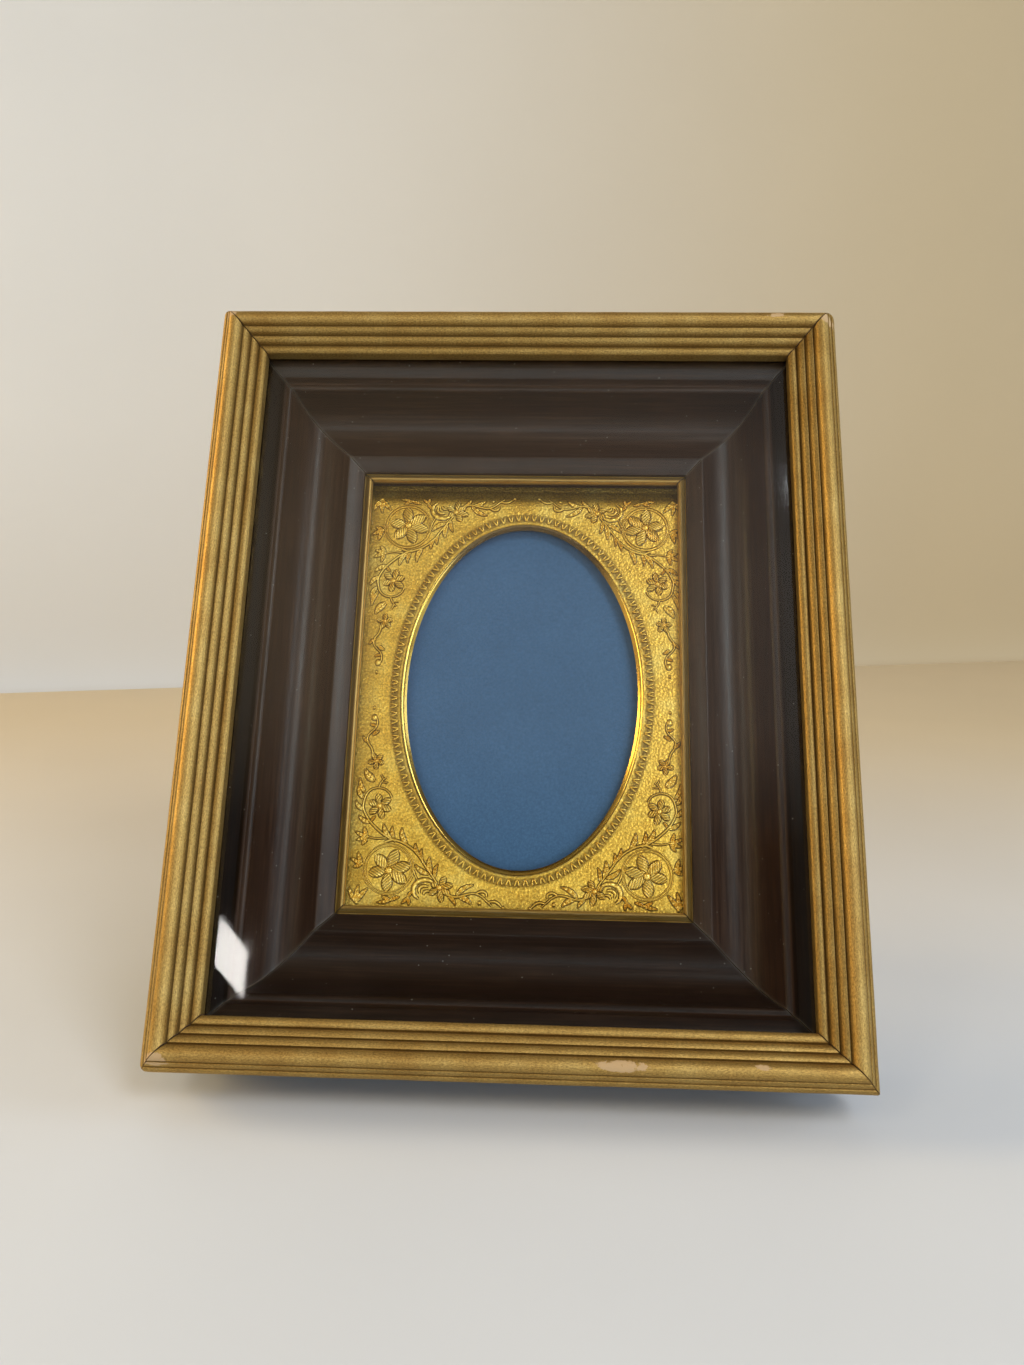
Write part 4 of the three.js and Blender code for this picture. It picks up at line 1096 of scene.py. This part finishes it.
class AddLinerRails(FrameStep, bpy.types.Operator):
    """Adds the four dark cove rails behind the glass."""

    bl_idname = "picture_frame.add_liner_rails"
    bl_label = "Liner rails"

    def execute(self, context):
        shapes = {side: {"strength": LINER_PAINTED_SHADE[side], "inset": COVE_INSET} for side in SIDES}
        section = liner_section()
        add_rails(context, "cove_rail", section, walnut_varnish, LINER_RAW, "dark_wood", "liner_rail", shapes)
        return {"FINISHED"}


class AddSlipRails(FrameStep, bpy.types.Operator):
    """Adds the four gilt slip rails round the mat."""

    bl_idname = "picture_frame.add_slip_rails"
    bl_label = "Slip rails"

    def execute(self, context):
        add_rails(context, "gilt_slip", slip_section(), burnished_gilt, SLIP_RAW, "gilt", "slip_rail")
        return {"FINISHED"}


class AddMatSheet(FrameStep, bpy.types.Operator):
    """Adds the stamped brass sheet with its polished oval rim."""

    bl_idname = "picture_frame.add_mat_sheet"
    bl_label = "Mat sheet"

    def execute(self, context):
        colours = context.scene.finish_colours
        finishes = (
            stamped_brass(colours, "stippled_brass", 1.0, 0.75, (0.36, 0.48)),
            stamped_brass(colours, "polished_brass_rim", 0.0, 1.0, (0.13, 0.2)),
        )
        dress(mat_sheet(context.scene.mat_sizes, finishes), "mat_brass", "brass_mat")
        return {"FINISHED"}


class AddMatSprays(FrameStep, bpy.types.Operator):
    """Adds the stamped flower sprays in the mat's four corners."""

    bl_idname = "picture_frame.add_mat_sprays"
    bl_label = "Mat sprays"

    def execute(self, context):
        sizes, colours = context.scene.mat_sizes, context.scene.finish_colours
        finish = stamped_brass(colours, "raised_brass", 0.0, 0.72, (0.26, 0.36))
        half_width, half_height = sizes.width / MM / 2, sizes.height / MM / 2
        spray = corner_spray(sizes.relief / MM)
        spots, heights = np.concatenate(spray.places), np.concatenate(spray.heights)
        for corner, (side, end) in CORNERS.items():
            x, y = side * (half_width - spots[:, 0]), end * (half_height - spots[:, 1])
            height = mat_ground(y, half_height) + heights
            piece = shape_object(f"mat_spray_{corner}", on_mat(x, y, height), spray.faces, [finish],
                                 marks={"patina_and_shade": np.concatenate(spray.patina_and_shade)}, sharp=60)
            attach(piece, "frame")
        return {"FINISHED"}


def tooth_ring_tree():
    """Geometry nodes: two splayed, rounded legs make a tooth, and teeth stand all round an oval."""
    tree = bpy.data.node_groups.new("mat_tooth_ring", "GeometryNodeTree")
    tree.interface.new_socket("Geometry", in_out="OUTPUT", socket_type="NodeSocketGeometry")
    for name, kind in (
        ("Oval Width", "Float"), ("Oval Height", "Float"), ("Offset", "Float"), ("Teeth", "Int"),
        ("Tooth Leg", "Float"), ("Tooth Length", "Float"), ("Height", "Float"), ("Finish", "Material"),
    ):
        tree.interface.new_socket(name, in_out="INPUT", socket_type=f"NodeSocket{kind}")
    given = add(tree, "NodeGroupInput").outputs
    half_width, half_height = (
        add(tree, "ShaderNodeMath", {0: given[name], 1: 0.5, 2: given["Offset"]}, operation="MULTIPLY_ADD")
        for name in ("Oval Width", "Oval Height")
    )
    circle = add(tree, "GeometryNodeCurvePrimitiveCircle", {"Radius": 1.0, "Resolution": 256})
    scale = add(tree, "ShaderNodeCombineXYZ", {"X": half_width, "Y": half_height, "Z": 1.0})
    oval = add(tree, "GeometryNodeTransform", {"Geometry": circle, "Scale": scale})
    spots = add(tree, "GeometryNodeCurveToPoints", {"Curve": oval, "Count": given["Teeth"]})
    size = add(tree, "ShaderNodeCombineXYZ", {
        "X": given["Tooth Leg"], "Y": given["Tooth Length"], "Z": given["Height"],
    })
    block = {"Size": size, "Vertices X": 2, "Vertices Y": 3, "Vertices Z": 2}
    block = add(tree, "GeometryNodeMeshCube", block)
    rounded = add(tree, "GeometryNodeSubdivisionSurface", {"Mesh": block, "Level": 1})
    tooth = add(tree, "GeometryNodeJoinGeometry")
    for side in (-1, 1):
        leg = add(tree, "GeometryNodeTransform", {
            "Geometry": rounded, "Translation": (side * LEG_SIDE * MM, 0.0, 0.0),
            "Rotation": (0.0, 0.0, -side * LEG_LEAN),
        })
        tree.links.new(leg.outputs[0], tooth.inputs[0])
    upright = add(tree, "FunctionNodeAlignRotationToVector", {"Vector": spots.outputs["Normal"]}, axis="Y",
                  pivot_axis="Z")
    stood = {"Points": spots, "Instance": tooth, "Rotation": upright}
    ring = add(tree, "GeometryNodeInstanceOnPoints", stood)
    solid = add(tree, "GeometryNodeRealizeInstances", {"Geometry": ring})
    position = add(tree, "GeometryNodeInputPosition")
    height = add(tree, "ShaderNodeSeparateXYZ", {"Vector": position}).outputs["Z"]
    # The teeth are dark where they meet the ground, over a tenth of a millimetre: tarnish and painted shade.
    tarnish_and_shade = add(tree, "ShaderNodeMapRange", {0: height, 1: 0.0, 2: 0.1 * MM, 3: 0.9, 4: 0.0})
    stained = add(tree, "GeometryNodeStoreNamedAttribute", {
        "Geometry": solid, "Name": "patina_and_shade", "Value": tarnish_and_shade,
    }, data_type="FLOAT", domain="POINT")
    finished = add(tree, "GeometryNodeSetMaterial", {"Geometry": stained, "Material": given["Finish"]})
    add(tree, "NodeGroupOutput", {"Geometry": finished})
    return tree


class AddMatTeeth(FrameStep, bpy.types.Operator):
    """Adds the ring of stamped teeth round the mat's oval."""

    bl_idname = "picture_frame.add_mat_teeth"
    bl_label = "Mat teeth"

    def execute(self, context):
        sizes, colours = context.scene.mat_sizes, context.scene.finish_colours
        finish = stamped_brass(colours, "raised_brass_teeth", 0.0, 0.75, (0.24, 0.34))
        tree = tooth_ring_tree()
        seed = bpy.data.objects.new("mat_teeth_seed", bpy.data.meshes.new("mat_teeth_seed"))
        context.scene.collection.objects.link(seed)
        modifier = seed.modifiers.new("teeth", "NODES")
        modifier.node_group = tree
        values = {
            "Oval Width": sizes.oval_width, "Oval Height": sizes.oval_height, "Offset": TOOTH_OFFSET * MM,
            "Teeth": sizes.teeth, "Tooth Leg": sizes.tooth_leg, "Tooth Length": sizes.tooth_length,
            "Height": TOOTH_HEIGHT * MM, "Finish": finish,
        }
        for item in tree.interface.items_tree:
            if item.in_out == "INPUT":
                modifier[item.identifier] = values[item.name]
        context.view_layer.update()
        mesh = bpy.data.meshes.new_from_object(seed.evaluated_get(context.evaluated_depsgraph_get()))
        seed.modifiers.remove(modifier)
        bpy.data.objects.remove(seed)
        mesh.name = "mat_tooth_ring"
        basis = Matrix(np.array((ACROSS, UP, OUT)).T).to_4x4()
        basis.translation = Vector(on_mat(0.0, 0.0, 0.0))
        mesh.transform(basis)
        mesh.polygons.foreach_set("use_smooth", np.ones(len(mesh.polygons), bool))
        piece = bpy.data.objects.new("mat_tooth_ring", mesh)
        context.scene.collection.objects.link(piece)
        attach(piece, "frame")
        return {"FINISHED"}


class FinishCarriedNodes(FrameStep, bpy.types.Operator):
    """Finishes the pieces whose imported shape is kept: glass, card, board, strut and metal fittings."""

    bl_idname = "picture_frame.finish_carried_nodes"
    bl_label = "Glass, card and back"

    def execute(self, context):
        colours = context.scene.finish_colours
        refinish(picture_glass(), "glass_pane")
        refinish(mount_card(colours), "blue_card")
        refinish(pressed_hardboard(colours), "backing_board", "easel_strut")
        zinc = plated_metal("zinc_plated_steel", colours.zinc[:], linear("85847F"), (0.5, 0.3))
        refinish(zinc, "strut_bracket", "strut_pin", *(f"bracket_rivet_{k}" for k in range(1, 5)),
                 *(f"liner_nail_{side}" for side in SIDES))
        brass = plated_metal("brass_plated_steel", colours.plated[:], linear("8C6C30"), (0.42, 0.24))
        for side in ("left", "right"):
            for end in ("upper", "lower"):
                refinish(brass, f"turn_button_{side}_{end}", f"button_screw_{side}_{end}")
        return {"FINISHED"}


# Camera: its place and its three axes on the face, in millimetres, its focal length and the picture's height
# in pixels, its sensor in millimetres, and where its sight starts, in metres.
CAMERA_SPOT = (9.305, -71.096, 234.70)
CAMERA_RIGHT = (0.998977, 0.027746, -0.035707)
CAMERA_DOWN = (0.016889, -0.961419, -0.274570)
CAMERA_AHEAD = (-0.041948, 0.273686, -0.960904)
FOCAL_PIXELS = 1106
PHOTO_HEIGHT = 1365
SENSOR = 36
CLIP_START = 0.01
# The table's back edge runs a little askew behind the frame, and the wall stands behind it, in metres.
TABLE_BACK = ((-0.346, 0.426), (0.284, 0.629))
TABLE_REACH = 3.0
WALL_GAP = 0.03
WALL_FOOT = 1
WALL_HEIGHT = 4
# Painted light on table and wall: how far along an axis their tones go over from cool to warm, and how uneven
# they are and over what length.
TABLE_PAINTED_LIGHT = ("Y", (-0.1, 0.4), 0.02, 0.12)
WALL_PAINTED_LIGHT = ("X", (-0.5, 0.35), 0.03, 0.3)
# Soft lamps: place and aim in metres, width, height, power in watts, tone, and spread in degrees.
LAMPS = (
    ("lamp_left", (-0.62, -0.78, 0.78), (0, 0, 0.08), 0.25, 0.35, 1.5, (1.0, 0.88, 0.68), 180),
    ("lamp_left_side", (-1.0, 0.02, 0.44), (0, -0.15, 0.08), 0.4, 0.5, 3.0, (1.0, 0.71, 0.31), 120),
    ("lamp_right", (0.55, -0.74, 0.86), (0, 0, 0.08), 0.4, 0.5, 5.2, (0.92, 0.96, 1.0), 180),
    ("lamp_right_side", (1.1, -0.12, 0.48), (0, 0, 0.08), 0.4, 0.5, 3.4, (0.74, 0.87, 1.0), 180),
    ("lamp_window", (0.9, -0.95, 0.3), (0, 0, 0.08), 0.35, 0.3, 2.2, (0.8, 0.9, 1.0), 180),
    ("lamp_front", (0.1, -1.5, 0.3), (0, 0, 0.04), 1.8, 0.5, 5.4, (0.76, 0.88, 1.0), 180),
    ("lamp_glint", (-0.2176, -0.5402, 0.2787), (0.761, -0.368, 0.387), 0.053, 0.0374, 0.13,
     (1.0, 0.95, 0.9), 180),
)
# Light of the room from the horizon (0) to overhead (1), ahead and behind and then at the sides.
ROOM_MIDDLE = (
    (0.0, 0.8), (0.28, 0.75), (0.4, 0.05), (0.53, 0.05), (0.62, 0.6), (0.72, 0.7), (0.85, 0.4), (1.0, 0.4),
)
ROOM_SIDES = ((0.0, 0.8), (0.25, 0.75), (0.45, 0.4), (1.0, 0.4))


def panel_of(name, corners, material):
    """A flat panel of the stage through four corners in metres."""
    mesh = bpy.data.meshes.new(name)
    mesh.from_pydata(corners, [], [(0, 1, 2, 3)])
    mesh.materials.append(material)
    panel = bpy.data.objects.new(name, mesh)
    bpy.context.scene.collection.objects.link(panel)


def soft_lamp(name, spot, aim, width, height, power, tone, spread):
    """A soft area lamp that looks at a point, and lights nothing outside its spread in degrees."""
    lamp = bpy.data.lights.new(name, "AREA")
    lamp.shape = "RECTANGLE"
    lamp.size, lamp.size_y = width, height
    lamp.energy = power
    lamp.color = tone
    lamp.spread = math.radians(spread)
    holder = bpy.data.objects.new(name, lamp)
    holder.location = spot
    holder.rotation_euler = (Vector(aim) - Vector(spot)).to_track_quat("-Z", "Y").to_euler()
    bpy.context.scene.collection.objects.link(holder)


def set_room(scene):
    """Lights the scene from all round: warm on the left, cool on the right, a dark band ahead and behind."""
    world = bpy.data.worlds.new("soft_room")
    world.use_nodes = True
    tree = world.node_tree
    tree.nodes.clear()
    axes = add(tree, "ShaderNodeSeparateXYZ", {"Vector": add(tree, "ShaderNodeTexCoord")}).outputs
    middle, sides = (
        add(tree, "ShaderNodeValToRGB", {"Fac": axes["Z"]}, [(up, (light,) * 4) for up, light in levels])
        for levels in (ROOM_MIDDLE, ROOM_SIDES)
    )
    away = add(tree, "ShaderNodeMath", {0: axes["X"]}, operation="ABSOLUTE")
    spans = (
        {0: away, 1: 0.25, 2: 0.75},
        {0: axes["X"], 1: -0.34, 2: -0.26, 3: 0.1},
        {0: axes["X"], 1: -0.3, 2: 0.7},
    )
    aside, dim, right = (
        add(tree, "ShaderNodeMapRange", span, interpolation_type="SMOOTHSTEP") for span in spans
    )
    middle = add(tree, "ShaderNodeVectorMath", {0: middle, "Scale": dim}, operation="SCALE")
    level = add(tree, "ShaderNodeMix", {"Factor": aside, "A": middle, "B": sides}, data_type="RGBA")
    tones = {"Factor": right, "A": linear("FFE6BE"), "B": linear("E6F0FF")}
    tint = add(tree, "ShaderNodeMix", tones, data_type="RGBA")
    sky = add(tree, "ShaderNodeBackground", {"Color": tint, "Strength": level})
    add(tree, "ShaderNodeOutputWorld", {"Surface": sky})
    scene.world = world
    scene.view_settings.view_transform = "Standard"


def set_camera(scene):
    """Adds the camera that sees the frame as the photograph does."""
    camera = bpy.data.cameras.new("camera")
    camera.sensor_width = SENSOR
    camera.lens = FOCAL_PIXELS / PHOTO_HEIGHT * SENSOR
    camera.clip_start = CLIP_START
    holder = bpy.data.objects.new("camera", camera)
    face_axes = np.array((ACROSS, UP, OUT))
    right, down, ahead = (np.array(v) @ face_axes for v in (CAMERA_RIGHT, CAMERA_DOWN, CAMERA_AHEAD))
    turn = Matrix(np.stack((right, -down, -ahead), axis=1)).to_4x4()
    turn.translation = Vector(place(CAMERA_SPOT))
    holder.matrix_world = turn
    scene.collection.objects.link(holder)
    scene.camera = holder


class SetStage(FrameStep, bpy.types.Operator):
    """Adds the table, the wall, the soft light and the camera."""

    bl_idname = "picture_frame.set_stage"
    bl_label = "Stage"

    def execute(self, context):
        colours = context.scene.finish_colours
        table = painted_surface("white_table_top", (colours.table, colours.table_back_painted_light), *TABLE_PAINTED_LIGHT)
        wall = painted_surface("cream_wall_paint", (colours.wall, colours.wall_right_painted_shade), *WALL_PAINTED_LIGHT)
        left, right = (Vector((*point, 0.0)) for point in TABLE_BACK)
        along = (right - left).normalized()
        middle, away = (left + right) / 2, Vector((-along.y, along.x, 0.0))
        ends = [middle - along * TABLE_REACH, middle + along * TABLE_REACH]
        fronts = [end - away * TABLE_REACH for end in ends]
        panel_of("table_top", [*fronts, ends[1], ends[0]], table)
        foot = [end + away * WALL_GAP - Vector((0, 0, WALL_FOOT)) for end in ends]
        head = [point + Vector((0, 0, WALL_HEIGHT)) for point in foot]
        panel_of("wall", [*foot, head[1], head[0]], wall)
        for lamp in LAMPS:
            soft_lamp(*lamp)
        set_room(context.scene)
        set_camera(context.scene)
        return {"FINISHED"}


OPERATORS = (
    AddGoldRails, AddLinerRails, AddSlipRails, AddMatSheet, AddMatSprays, AddMatTeeth, FinishCarriedNodes,
    SetStage,
)


class PictureFramePanel(bpy.types.Panel):
    """Lists the frame's sizes, colours and steps in the 3D view's sidebar."""

    bl_idname = "VIEW3D_PT_picture_frame"
    bl_label = "Picture frame"
    bl_space_type = "VIEW_3D"
    bl_region_type = "UI"
    bl_category = "Picture frame"

    def draw(self, context):
        for group in (context.scene.frame_sizes, context.scene.mat_sizes, context.scene.finish_colours):
            for name in group.bl_rna.properties.keys():
                if name not in {"rna_type", "name"}:
                    self.layout.prop(group, name)
        for operator in OPERATORS:
            self.layout.operator(operator.bl_idname)


GROUPS = {"frame_sizes": FrameSizes, "mat_sizes": MatSizes, "finish_colours": FinishColours}


def register():
    """Registers the classes and hangs the settings on the scene."""
    for kind in (*GROUPS.values(), *OPERATORS, PictureFramePanel):
        bpy.utils.register_class(kind)
    for name, group in GROUPS.items():
        setattr(bpy.types.Scene, name, bpy.props.PointerProperty(type=group))


def unregister():
    """Takes the settings and the classes away again."""
    for name in GROUPS:
        delattr(bpy.types.Scene, name)
    for kind in (PictureFramePanel, *reversed(OPERATORS), *GROUPS.values()):
        bpy.utils.unregister_class(kind)


def main():
    """Builds the pieces in order."""
    register()
    steps = bpy.ops.picture_frame
    steps.add_gold_rails()
    steps.add_liner_rails()
    steps.add_slip_rails()
    steps.add_mat_sheet()
    steps.add_mat_sprays()
    steps.add_mat_teeth()
    steps.finish_carried_nodes()
    steps.set_stage()


if __name__ == "__main__":
    main()
